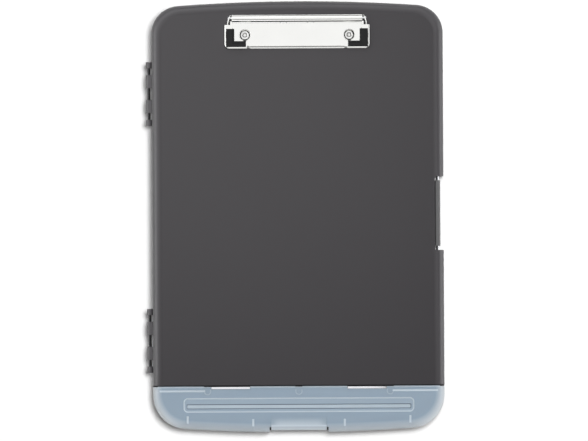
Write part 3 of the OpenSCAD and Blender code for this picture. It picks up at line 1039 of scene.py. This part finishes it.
tabForm = {
    "inset": 1.8,
    "thickness": 1.2,
    "bottom": 12.0,
    "rampLength": 14.2,
    "rampDrop": 2.2,
    "rampCurve": 1.6,
    "crestBack": 3.8,  # from the tab's front edge to the crest at the foot of the ramp
    "crestHalf": 0.25,
    "stripDrop": 1.9,
    "stripSlope": ((0.9, 0.3), (2.2, 1.0)),  # points of the front slope: before the crest, and below it
    "browRound": 1.0,  # at the top of the tab's front face
    "toeRound": 0.5,  # and at its foot
    "bulge": 0.12,  # swell of the tab's middle over its sides
    # places across the tab, as shares of its half width
    "stations": (0.0, 0.35, 0.66, 0.78, 0.87, 0.94, 1.0),
    "noseHalf": 16.0,
    "noseHeights": (12.0, 12.3, 13.2, 13.9),  # root and tip underneath, tip and root on top
}
# painted light and shade on the frosted lid: how much paler (up to 1) or darker (down to -1) each part is
# coloured than its plate; ribs, ridges and the bead are paler partly for their thicker plastic, the rest
# is painted highlight and painted shade
paintedLightForm = {
    "ridge": 0.7,
    "lugArch": 0.25,
    "lugArchReach": (3.4, -153.0),  # either side of each lug, and its foot along the case
    # painted highlight on the trough's walls and floors, painted shade on the channel's walls
    "clipSideWall": 1.0,  # of the trough
    "otherWalls": 0.75,
    "troughFloor": 0.1,
    "channelWall": -1.0,
    "channelFloor": 0.5,
    "bead": 0.55,
    # painted highlight along the tab's crest and up its ramp
    "crest": 0.75,
    "ramp": 0.62,
    "rampSide": 0.2,  # share that is left of it at the sides
    "rampFade": 7.0,
    "foot": -0.26,  # painted shade along the foot, where the edge leans away from the light
    "footBand": (3.0, 8.0),  # depths over which it fades out
    "footEnds": (92.0, 112.0),
}
rampY = -halfLength + tabForm["rampLength"]
frontY = -halfLength + tabForm["inset"]
crestY = frontY + tabForm["crestBack"]
tabHalf = penForm["tabWidth"] / 2


def sinkCut(shape, top):
    # rounded slot with sloping walls, sunk from the top face
    half, radius = shape["half"], shape["radius"]
    y0, y1 = shape["y"]
    rings = []
    for inset, z in ((shape["slope"], top - shape["depth"]), (0.0, top), (0.0, top + 4)):
        corner = max(radius - inset, 0.3)
        outline = roundRect(-half + inset, half - inset, y0 + inset, y1 - inset, corner, 8)
        rings.append([(x, y, z) for x, y in outline])
    return loft("sink", rings)


def archRidge(x, y, radius):
    # small raised arch, open towards the clip: a half ring with two straight legs
    form = penLidForm
    width, leg = form["archWidth"], form["archLeg"]
    outer = arc(x, y, radius, 0, 180, 14)
    inner = arc(x, y, radius - width, 180, 0, 12)
    outline = [(x + radius, y - leg)] + outer + [(x - radius, y - leg), (x - radius + width, y - leg)]
    outline += inner + [(x + radius - width, y - leg)]
    outline = [(u, 2 * y - v) for u, v in outline]
    return prism(outline, board - 0.6, board + form["ridge"])


def penCrown(grow):
    # the pen lid's outer form as a solid, its top raised by grow
    form = penLidForm
    top = board + grow
    profile = [(0.0, form["bottom"])] + quarterEdge(form["edgeWidth"], form["edgeHeight"] + grow, top, 12)
    behind = block(acrossAll, (-reach, axisY + form["rearEdge"]), throughAll)
    return keep(caseLoft("penLid", profile), behind)


def addTrough(lid):
    form = penLidForm
    trough, margin = form["trough"], form["thickMargin"]
    y0, y1 = trough["y"]
    half = trough["half"] + margin
    thick = roundRect(-half, half, y0 - margin, y1 + margin, trough["radius"] + margin, 8)
    add(lid, prism(thick, board - form["channel"]["depth"] - form["thickFloor"], board - 0.5))
    cut(lid, sinkCut(trough, board), sinkCut(form["channel"], board))


def addRibs(lid):
    # ribs that run up through the plate, and raised lines beside the hinge
    form = penLidForm
    for side in (-1, 1):
        for x, near, far in form["ribs"]:
            ribX = (side * x - form["ribHalf"], side * x + form["ribHalf"])
            rib = block(ribX, (-halfLength + near, -halfLength + far), (24, board + 3), 0.5)
            add(lid, keep(rib, penCrown(form["ridge"])))
        lineX = sorted(side * v for v in form["sideRidge"]["x"])
        add(lid, block(lineX, form["sideRidge"]["y"], (board - 0.6, board + form["ridge"]), 0.5))


def snapTab():
    form = tabForm
    bottom, rampZ = form["bottom"], board - form["rampDrop"]
    under = board - penLidForm["plate"]
    back, stripZ = frontY + form["thickness"], rampZ - form["stripDrop"]
    rampEnd = crestY + form["crestHalf"]
    outline = [(rampY + 1, board), (rampY, board)]
    for i in range(1, 10):
        along = i / 10
        fall = form["rampDrop"] * along ** form["rampCurve"]
        outline.append((rampY + (rampEnd - rampY) * along, board - fall))
    outline += [(rampEnd, rampZ), (crestY - form["crestHalf"], rampZ - 0.03)]
    outline += [(crestY - before, rampZ - fall) for before, fall in form["stripSlope"]]
    brow, toe = form["browRound"], form["toeRound"]
    outline += arc(frontY + brow, stripZ - 0.85, brow, 122, 180, 5)
    outline += arc(frontY + toe, bottom + toe, toe, 180, 270, 4)
    outline += [(back, bottom), (back, rampZ - 3.4), (rampY, under), (rampY + 1, under)]
    rings = []
    for share in [-s for s in reversed(form["stations"][1:])] + list(form["stations"]):
        swell = form["bulge"] * (1 - share * share)
        ring = []
        for y, z in outline:
            onTop = crestY - 3 < y < rampY and z > rampZ - 2
            ring.append((share * tabHalf, y, z - swell if onTop else z))
        rings.append(ring)
    noseY = (back - 0.1, catchY - 1, catchY - 1, back - 0.1)
    nose = list(zip(noseY, form["noseHeights"]))
    return add(loft("tab", rings), prism(nose, -form["noseHalf"], form["noseHalf"], "x"))


def addHingeEdge(lid):
    # hinge bead along the rear edge, with pockets over the tray's lugs and windows on the rods
    form = penLidForm
    bead, half = penForm["beadRadius"], penForm["beadHalf"]
    under = board - form["plate"]
    cut(lid, block((-half, half), (axisY, reach), throughAll))
    add(lid, prism(disc(axisY, axisZ, bead, 32), -half, half, "x"))
    halfPocket = penForm["notchWidth"] / 2
    for x in penForm["lugAt"]:
        across = (x - halfPocket, x + halfPocket)
        add(lid, block(across, (axisY - 1, axisY + 1.0), (under, board - 0.02)))
        pocketZ = (0, board - form["pocketSkin"])
        pocket = block(across, (axisY - form["pocketLength"], axisY + 40), pocketZ, form["pocketRound"])
        start, end = form["skinTurn"]
        cover = arc(axisY, axisZ, bead + 0.1, start, end, 12)
        cover += arc(axisY, axisZ, penForm["lugRadius"] + form["lugGap"], end, start, 12)
        cut(pocket, prism(cover, x - 10, x + 10, "x"))
        cut(lid, pocket)
        add(lid, archRidge(x, axisY - form["archBack"], halfPocket))
    near, far = penForm["window"]
    for across in ((near, far), (-far, -near)):
        cut(lid, block(across, (axisY - 0.6, axisY + 40), throughAll, 0.5))
        cut(lid, prism(disc(axisY, axisZ, bead + 0.05, 32), *across, "x"))
    cut(lid, penRodBore())


def footPaintedShade(x, y):
    # painted shade along the foot, fading inwards and towards both ends
    depth = y + halfLength - x * x / (2 * caseForm["bowRadius"])
    fades = 1.0
    for place, (near, far) in ((depth, paintedLightForm["footBand"]), (abs(x), paintedLightForm["footEnds"])):
        fades *= easeStep((far - place) / (far - near))
    return paintedLightForm["foot"] * fades


def tabPaintedHighlight(x, y):
    # painted highlight: the ramp pales towards its crest and fades out at its sides; the strip before the
    # crest is duller
    edge = tabForm["crestHalf"] + 0.1
    if y < crestY - edge:
        return 0.0
    if y < crestY + edge:
        return paintedLightForm["crest"]
    side = paintedLightForm["rampSide"]
    fade = side + (1 - side) * easeStep((tabHalf - abs(x)) / paintedLightForm["rampFade"])
    return paintedLightForm["ramp"] * easeStep((rampY - y) / (rampY - crestY)) * fade


def troughPaintedLight(z, normal):
    # painted light on the sloping walls and floors of the trough, painted shade on the channel's walls
    trough = penLidForm["trough"]
    if normal.z < 0.97:  # a sloping wall
        if z < board - trough["depth"] - 0.05:
            return paintedLightForm["channelWall"]
        return paintedLightForm["clipSideWall"] if normal.y < -0.1 else paintedLightForm["otherWalls"]
    return paintedLightForm["channelFloor"] if z < board - trough["depth"] - 0.3 else paintedLightForm["troughFloor"]


def penLidPaintedLight(centre, normal):
    # painted light and shade of a whole face; None on the tab and 0 on the plate, where it fades from
    # corner to corner
    x, y, z = centre / mm
    ax = abs(x)
    trough = penLidForm["trough"]
    inTrough = ax < trough["half"] + 0.1 and trough["y"][0] - 0.1 < y < trough["y"][1] + 0.1
    if z > board + 0.02:
        halfArch, archFoot = paintedLightForm["lugArchReach"]
        nearLug = min(abs(x - lugX) for lugX in penForm["lugAt"]) < halfArch and y > archFoot
        return paintedLightForm["lugArch"] if nearLug else paintedLightForm["ridge"]
    if inTrough and z < board - 0.03 and normal.z > 0.1:
        return troughPaintedLight(z, normal)
    if y > axisY + 0.9 and z > board - 1.4:
        return paintedLightForm["bead"]
    if ax < tabHalf and y < rampY and z > board - 4.5:
        return None
    return 0.0


def addPaintedLight(piece):
    # paints light and shade into the frosted lid's colour, one value per face corner
    mesh = piece.data
    paintedLight = mesh.attributes.new("paintedLight", "FLOAT", "CORNER")
    for face in mesh.polygons:
        value = penLidPaintedLight(face.center, face.normal)
        for i in face.loop_indices:
            corner = mesh.vertices[mesh.loops[i].vertex_index].co / mm
            fading = tabPaintedHighlight if value is None else footPaintedShade
            paintedLight.data[i].value = value or fading(corner.x, corner.y)


def buildPenLid():
    form = penLidForm
    lid = penCrown(0.0)
    cut(lid, hollow(form, (-reach, axisY + form["rearEdge"] + 1)))
    addTrough(lid)
    addRibs(lid)
    cut(lid, block((-tabHalf, tabHalf), (-reach, rampY), throughAll))
    slit = tabHalf + penForm["tabSlit"]
    slitY = (-reach, -halfLength + form["slitDepth"])
    cut(lid, block((-slit, slit), slitY, throughAll, form["slitRound"]))
    add(lid, snapTab())
    addHingeEdge(lid)
    dress(lid, "penLid", "pen_cover", ["pen_lid"], "frosted_plastic", form["softEdge"])
    addPaintedLight(lid)
    return lid


penLid = buildPenLid()
print("pen lid", len(penLid.data.polygons))


def buildLatch():
    form = latchForm
    at = jointAt["side_latch_hinge"]
    top, noseZ = form["top"], form["noseZ"]
    outerX = at.x + form["thickness"] / 2
    innerX = at.x - form["thickness"] / 2
    headX = notchX + form["headGap"]
    y0, y1 = (form["middle"] + side * form["barLength"] / 2 for side in (-1, 1))
    low = top - form["headHeight"]
    outer, inner, tip = form["headRounds"]
    outline = [(outerX, at.z)] + arc(outerX - outer, top - outer, outer, 0, 90, 8)
    outline += arc(headX + inner, top - inner, inner, 90, 180, 8)
    outline += arc(headX + tip, low + tip, tip, 180, 270, 3)
    outline += [(innerX, low - tip), (innerX, at.z)]
    bar = prism(outline, y0, y1, "y")
    add(bar, prism(disc(at.x, at.z, form["barrelRadius"], 32), y0, y1, "y"))
    noseX = notchX + form["noseGap"]
    noseTop = noseZ + form["noseHeight"]
    nose = [(headX + 1, noseZ), (noseX + 0.5, noseZ), (noseX, noseZ + 0.5)]
    nose += [(noseX, noseTop - 0.4), (headX + 1, noseTop)]
    noseHalf = form["noseLength"] / 2
    add(bar, prism(nose, form["middle"] - noseHalf, form["middle"] + noseHalf, "y"))
    for i in range(form["grooves"]):
        z = top - form["grooveTop"] - form["groovePitch"] * i
        groove = disc(outerX + form["grooveLift"], z, form["grooveRadius"], 24)
        cut(bar, prism(groove, y0 + form["grooveEnd"], y1 - form["grooveEnd"], "y"))
    cut(bar, prism(disc(at.x, at.z, form["pinRadius"] + form["boreGap"], 24), y0 - 1, y1 + 1, "y"))
    return dress(bar, "sideLatch", "latch", ["side_latch"], "latch_plastic", form["softEdge"], 3)


latch = buildLatch()
print("side latch", len(latch.data.polygons))


# rods of both hinges, and the latch's pin
def buildRods():
    half = hingeForm["rodHalf"]
    for word, middle in hingeForm["middles"].items():
        ends = [(hingeX, middle + side * half, hingeZ) for side in (-1, 1)]
        rod = roundedRod("hingeRod", *ends, hingeForm["rodRadius"], "y")
        dress(rod, "hingeRod" + word.title(), "tray", ["hinge_rod_" + word], "black_steel")
    near, far = penForm["window"]
    for word, side in sides.items():
        x0, x1 = sorted((side * penForm["rodGap"], side * penForm["rodEnd"]))
        rod = roundedRod("penRod", (x0, axisY, axisZ), (x1, axisY, axisZ), penForm["rodRadius"], "x")
        w0, w1 = sorted((side * near, side * far))
        flatted = arc(axisY, axisZ, penForm["windowRod"], 107, 403, 40)
        add(rod, prism(flatted, w0 + 0.3, w1 - 0.3, "x"))
        dress(rod, "penRod" + word.title(), "tray", ["pen_hinge_rod_" + word], "bright_steel")
    at = jointAt["side_latch_hinge"]
    ends = [(at.x, y, at.z) for y in aroundNotch(latchForm["cheek"] - latchForm["pinShort"])]
    pin = roundedRod("latchPin", *ends, latchForm["pinRadius"], "y")
    dress(pin, "latchPin", "tray", ["latch_pin"], "bright_steel")


buildRods()
print("rods and pins ready")


# clip: a base with a rolled hood that holds the axle, and a jaw that hangs on it
clipForm = {
    "sheet": 0.9,
    "axleHole": 1.3,
    "hoodRadius": 3.2,
    "hoodHalf": 55.8,
    "hoodFront": 162.0,
    "rollEnd": 165.0,  # degrees round the roll, measured from the rear
    "plateHalf": 52.3,
    "plateFront": 149.4,
    "plateChamfer": 0.3,
    "seat": (4.0, 4.75),  # raised seat round each rivet: radius of its top and of its foot
    "seatRise": 0.32,
    "softEdge": 0.15,
}
jawForm = {
    "half": 61.95,
    "top": 36.2,
    "front": 143.6,
    "bottom": 31.0,
    "flangeEnd": 164.0,
    "rear": 165.4,
    "rearHalf": 55.4,
    "seam": 1.5,  # overlap of the rear strip with the plate
    "flatEnd": 7.8,  # from the front or the sides to where the rings of the plate end
    "wallStep": 3.2,  # a ring part way up the walls
    "cornerRadius": 4.0,
    "edgeRadius": 0.9,
    "lipHalf": 43.0,
    "lipBlend": 3.0,
    "lipFall": 4.5,  # of the lip's flat, below the top
    "lipFlat": 0.95,  # from the lip's edge to where it turns up
    "lipTurn": 0.25,  # radius of that turn
    # crease behind the lip: behind the front, and below the top
    "crease": ((1.2, 1.3), (1.26, 0.86), (1.45, 0.77), (1.65, 0.69), (1.85, 0.62), (2.0, 0.57)),
    "slopeEnd": 5.0,  # where the slope behind the crease meets the plate
    "slopeCurve": 1.15,
    "web": ((55.3, 57.0), 167.0),  # web to each ear: across, and its rear end
    "earIn": 56.2,
    "earThickness": 0.9,
    "earBulge": 2.5,
    "earRadius": 3.0,
    "earDepth": 2.6,  # at the front, and how much deeper it gets towards the axle
    "earDrop": 2.2,
    "earEnd": 168.0,
    "earLean": (11.0, 125.0),  # length over which it leans in, and the turn of the sine that it follows
    "holeRadius": 5.0,  # over the rivets
    "cutLevels": (34.0, 60.0),  # heights between which the sheet is cut through
    "gripX": (43.6, 53.5, 60.5),
    "gripY": (145.1, 150.1, 160.6),
    "softEdge": 0.12,
}
axleY, axleZ = jointAt["clip_jaw_hinge"].y, jointAt["clip_jaw_hinge"].z
sheet = clipForm["sheet"]


def axleHole(side, near, far):
    # cutter for the axle's hole on one side
    return prism(disc(axleY, axleZ, clipForm["axleHole"], 24), *sorted((side * near, side * far)), "x")


def hoodRoll():
    form = clipForm
    r, end = form["hoodRadius"], form["rollEnd"]
    turn, middle = radians(end), r - sheet / 2
    tipY, tipZ = axleY + middle * cos(turn), axleZ + middle * sin(turn)
    roll = arc(axleY, axleZ, r, -90, end, 40)
    roll += arc(tipY, tipZ, sheet / 2, end, end + 180, 6)[1:-1]
    return roll + arc(axleY, axleZ, r - sheet, end, -90, 36)


def rivetSeat(side):
    inner, (upper, lower) = 2.0, clipForm["seat"]
    foot, edge = board + 0.2, board + sheet
    top = edge + clipForm["seatRise"]
    profile = [(inner, foot), (lower, foot), (lower, edge), (upper, top), (inner, top), (inner, foot)]
    return lathe("seat", profile, rivetMiddle(side), "z", 56)


def buildClipBase():
    form = clipForm
    roll, r = hoodRoll(), form["hoodRadius"]
    front, ease, top = form["plateFront"], form["plateChamfer"], board + sheet
    section = [(front + ease, board), *roll, (front + ease, top)]
    section += [(front, top - ease), (front, board + ease)]
    base = prism(section, -form["plateHalf"], form["plateHalf"], "x")
    wide = [(form["hoodFront"], board), *roll, (form["hoodFront"], top)]
    add(base, prism(wide, -form["hoodHalf"], form["hoodHalf"], "x"))
    # closed ends that carry the axle
    cheek = arc(axleY, axleZ, r, -90, form["rollEnd"], 40)
    cheek += [(axleY - 2.0, axleZ - 0.6), (axleY - 1.0, top), (axleY - 1.0, board)]
    for side in sides.values():
        inner, outer = form["hoodHalf"] - sheet, form["hoodHalf"]
        add(base, prism(cheek, *sorted((side * inner, side * outer)), "x"))
        cut(base, axleHole(side, inner - 1, outer + 1))
        add(base, rivetSeat(side))
        cut(base, rivetHole(side))
    return dress(base, "clipHood", "writing_lid", ["clip_base_plate"], "clip_chrome", form["softEdge"])


def lipSection():
    # bent-down front of the jaw, from the lip's edge to the plate, as (behind the front, below the top)
    form = jawForm
    fall, flat, turn = form["lipFall"], form["lipFlat"], form["lipTurn"]
    lip = [(0.0, fall + 0.7), (0.1, fall + 0.35), (0.3, fall + 0.1)]
    lip += [(0.55, fall), (0.75, fall), (flat, fall)]
    turns = [radians(degrees) for degrees in (25, 50, 75)]
    foot = [(flat + turn * sin(a), fall - turn * (1 - cos(a))) for a in turns]
    crease = list(form["crease"])
    start, depth = crease[-1]
    end, curve = form["slopeEnd"], form["slopeCurve"]
    slope = [(start + (end - start) * i / 6, depth * (1 - i / 6) ** curve) for i in range(1, 7)]
    plate = [(end + (form["flatEnd"] - end) * i / 3, 0.0) for i in range(1, 4)]
    return lip + foot + crease + slope + plate


def jawPath(inset):
    # open line round the jaw's left side, front and right side
    form = jawForm
    w = form["half"] - inset
    r = max(form["cornerRadius"] - inset, 0.05)
    y = form["front"] + inset + r
    sideY = [form["flangeEnd"] + (y - form["flangeEnd"]) * i / 12 for i in range(12)]
    x0 = w - r
    steps = 116
    points = [(-w, at) for at in sideY] + arc(-x0, y, r, 180, 270, 8)
    points += [(-x0 + 2 * x0 * i / steps, y - r) for i in range(1, steps)]
    return points + arc(x0, y, r, 270, 360, 8) + [(w, at) for at in reversed(sideY)]


def jawRings():
    # rings from the lower edge up and in over the plate, drawn out into the lip along the front
    form = jawForm
    edge, lip = form["edgeRadius"], lipSection()
    levels = [(0.0, form["top"] - form["bottom"]), (0.0, form["wallStep"])]
    levels += [(inset, -z) for inset, z in quarterEdge(edge, edge, 0.0, 6)]
    flat = len(lip) - len(levels)
    levels += [(edge + (form["flatEnd"] - edge) * i / flat, 0.0) for i in range(1, flat + 1)]
    rings = []
    for (inset, fall), (lipBack, lipFall) in zip(levels, lip):
        ring = []
        for x, y in jawPath(inset):
            share = easeStep((form["lipHalf"] - abs(x)) / form["lipBlend"])
            z = form["top"] - fall + (fall - lipFall) * share
            ring.append((x, y + (form["front"] + lipBack - y) * share, z))
        rings.append(ring)
    return rings


def jawSkin(work):
    loops = stitch(work, jawRings(), False)
    work.faces.new(list(reversed(loops[-1])))


def buildJaw():
    form = jawForm
    top, under = form["top"], form["top"] - sheet
    jaw = meshPiece("jaw", jawSkin)
    if min(face.normal.z for face in jaw.data.polygons) < -0.5:
        jaw.data.flip_normals()
    shell = jaw.modifiers.new("sheet", "SOLIDIFY")
    shell.thickness = sheet * mm
    shell.offset = -1.0
    shell.use_even_offset = False
    settle(jaw)
    rearY = (form["flangeEnd"] - form["seam"], form["rear"])
    add(jaw, block((-form["rearHalf"], form["rearHalf"]), rearY, (under, top), 0.4, "x"))
    webX, webEnd = form["web"]
    for side in sides.values():
        across = sorted(side * x for x in webX)
        add(jaw, block(across, (form["flangeEnd"] - 2, webEnd), (under, top - 0.02), 0.4))
        add(jaw, jawEar(side))
        cut(jaw, axleHole(side, clipForm["hoodHalf"], form["half"]))
        around = disc(*rivetMiddle(side)[:2], form["holeRadius"], 48)
        cut(jaw, prism(around, *form["cutLevels"]))
        cut(jaw, prism(gripOutline(side), *form["cutLevels"]))
    return dress(jaw, "clipJaw", "jaw", ["clip_jaw"], "clip_chrome", form["softEdge"])


def jawEar(side):
    # ear from the jaw's rear corner to the axle, leaning in towards the hood's end
    form = jawForm
    low = form["top"] - form["earDepth"]
    frontY, backY = form["flangeEnd"] - 3, form["rear"] + 2
    outline = arc(axleY, axleZ, form["earRadius"], -110, 80, 24)
    outline += [(backY + (frontY - backY) * i / 6, form["top"] - 0.05) for i in range(7)]
    for i in range(5):
        outline.append((frontY + (form["earEnd"] - frontY) * i / 5, low - form["earDrop"] * i / 5))
    length, turn = form["earLean"]
    rings = []
    for across in (0.0, form["earThickness"]):
        ring = []
        for y, z in outline:
            along = min((axleY + form["earRadius"] - y) / length, 1.0)
            bulge = form["earBulge"] * sin(radians(turn) * along)
            ring.append((side * (form["earIn"] + bulge + across), y, z))
        rings.append(ring)
    return loft("ear", rings)


def gripOutline(side, gap=0.0, grow=0.0):
    # L-shaped window in a corner of the jaw; gap shrinks it, grow widens it under the sheet
    x0, x1, x2 = (x + change for x, change in zip(jawForm["gripX"], (gap - grow, gap - grow, -gap)))
    y0, y1, y2 = (y + change for y, change in zip(jawForm["gripY"], (gap, grow - gap, grow - gap)))
    corners = ((x0, y0), (x2, y0), (x2, y2), (x1, y2), (x1, y1), (x0, y1))
    return [(side * x, y) for x, y in corners]


gripForm = {
    "sunk": 0.3,  # top of the grip below the jaw's
    "foot": 0.4,  # how far the pad stands out under the jaw
    "gap": 0.1,
    "flange": 0.7,  # how far it reaches under the sheet
    "flangeGap": 0.02,
    "step": (1.8, 1.7),  # width of the lower step along the inner sides
    "stepDepth": 0.7,
    "softEdge": 0.45,
}


def buildGrips():
    form = gripForm
    top, low = jawForm["top"] - form["sunk"], jawForm["bottom"] - form["foot"]
    flangeTop = jawForm["top"] - sheet - form["flangeGap"]
    x0, x1 = jawForm["gripX"][0] - 2, jawForm["gripX"][1] + form["step"][0]
    y0, y1 = jawForm["gripY"][1] - form["step"][1], jawForm["gripY"][2] + 2
    for word, side in sides.items():
        grip = prism(gripOutline(side, form["gap"]), low, top)
        add(grip, prism(gripOutline(side, form["gap"], form["flange"]), low, flangeTop))
        step = [(side * x, y) for x, y in ((x0, y0), (x1, y0), (x1, y1), (x0, y1))]
        cut(grip, prism(step, top - form["stepDepth"], top + 1))
        dress(grip, "grip" + word.title(), "jaw", ["jaw_grip_" + word], "grip_rubber", form["softEdge"], 3)


axleForm = {"half": 58.6, "radius": 1.25, "head": 1.7, "headLength": 0.55}


def buildAxle():
    head, inner = axleForm["head"], axleForm["half"]
    outer = inner + axleForm["headLength"]
    profile = [(head - 0.4, -outer), (head - 0.1, -outer + 0.12), (head, -outer + 0.3), (head, -inner)]
    profile.append((axleForm["radius"], -inner))
    profile += [(radius, -at) for radius, at in reversed(profile)]
    axle = lathe("clipAxle", profile, (0, axleY, axleZ), "x", 32)
    dress(axle, "clipAxle", "writing_lid", ["clip_axle"], "bright_steel")


rivetForm = {
    "head": 3.75,
    "eyelet": 1.85,
    "shank": 2.5,
    "pit": 0.9,  # depth of the eyelet's floor below the clip's sheet
    "washer": 5.5,
    "washerThickness": 0.8,
}


def rivetProfile(top, tail):
    # from the middle of the eyelet over the head, down the shank and round the closed tail
    head, hole, shank = rivetForm["head"], rivetForm["eyelet"], rivetForm["shank"]
    pit = top - rivetForm["pit"]
    profile = [(0.0, pit + 0.1), (0.6, pit + 0.08), (1.0, pit), (1.25, pit + 0.2), (1.5, pit + 0.6)]
    profile += [(hole - 0.1, pit + 1.2), (hole, top + 0.7), (hole + 0.1, top + 0.88)]
    profile += [(hole + 0.35, top + 1.05), (hole + 0.6, top + 1.1)]
    profile += [(head - 0.28, top + 1.08), (head - 0.08, top + 0.98)]
    profile += [(head, top + 0.8), (head, top + 0.4), (head, top + 0.12), (head - 0.12, top)]
    profile += [(shank, top), (shank, tail), (head - 0.5, tail), (head - 0.2, tail - 0.3)]
    profile += [(head - 0.6, tail - 0.68), (hole + 0.5, tail - 0.65), (hole, tail - 0.4)]
    return profile + [(hole - 0.1, tail + 1.2), (0.0, tail + 1.3)]


def buildRivets():
    top = board + sheet + clipForm["seatRise"]
    under = board - lidForm["plate"]
    tail = under - rivetForm["washerThickness"]
    hole, outer = lidForm["rivetHole"], rivetForm["washer"]
    ring = [(hole, tail), (hole, under), (outer - 0.1, under), (outer, under - 0.15)]
    ring += [(outer, tail + 0.15), (outer - 0.15, tail), (hole, tail)]
    for word, side in sides.items():
        rivet = lathe("rivet", rivetProfile(top, tail), rivetMiddle(side), "z", 56)
        dress(rivet, "rivet" + word.title(), "writing_lid", ["clip_rivet_" + word], "rivet_steel")
        washer = lathe("washer", ring, rivetMiddle(side), "z", 56)
        dress(washer, "washer" + word.title(), "writing_lid", ["rivet_washer_" + word], "bright_steel")


springForm = {
    "startX": 9.0,
    "turns": 8,
    "extraTurn": 0.22,
    "pitch": 0.66,
    "coilRadius": 1.8,
    "wireRadius": 0.3,
    "stepsPerTurn": 28,
    "leg": (11.5, 8.0, 4.0, 1.0),  # points of the lower leg, in front of the axle
    "arm": ((2.6, 0.15), (5.0, 0.4), (11.5, 1.5)),  # points of the upper leg: in front, and above
}


def springPoints():
    form = springForm
    r, perTurn = form["coilRadius"], form["stepsPerTurn"]
    points = [(0, axleY - front, axleZ - r) for front in form["leg"]]
    for i in range(int(perTurn * (form["turns"] + form["extraTurn"])) + 1):
        a = radians(270) - i * 2 * pi / perTurn
        points.append((i * form["pitch"] / perTurn, axleY + r * cos(a), axleZ + r * sin(a)))
    endX = form["turns"] * form["pitch"]
    return points + [(endX, axleY - front, axleZ + above) for front, above in form["arm"]]


def buildSprings():
    points = springPoints()
    for word, side in sides.items():
        curve = bpy.data.curves.new("spring", "CURVE")
        curve.dimensions = "3D"
        curve.bevel_depth = springForm["wireRadius"] * mm
        curve.bevel_resolution = 2
        curve.use_fill_caps = True
        line = curve.splines.new("POLY")
        line.points.add(len(points) - 1)
        for spot, (x, y, z) in zip(line.points, points):
            spot.co = (side * (springForm["startX"] + x) * mm, y * mm, z * mm, 1)
        wire = addObject("spring", curve)
        graph = bpy.context.evaluated_depsgraph_get()
        mesh = bpy.data.meshes.new_from_object(wire.evaluated_get(graph))
        bpy.data.objects.remove(wire)
        spring = addObject("spring", mesh)
        dress(spring, "spring" + word.title(), "writing_lid", ["clip_spring_" + word], "spring_steel")


buildClipBase()
buildJaw()
buildGrips()
buildAxle()
buildRivets()
buildSprings()
print("clip ready")
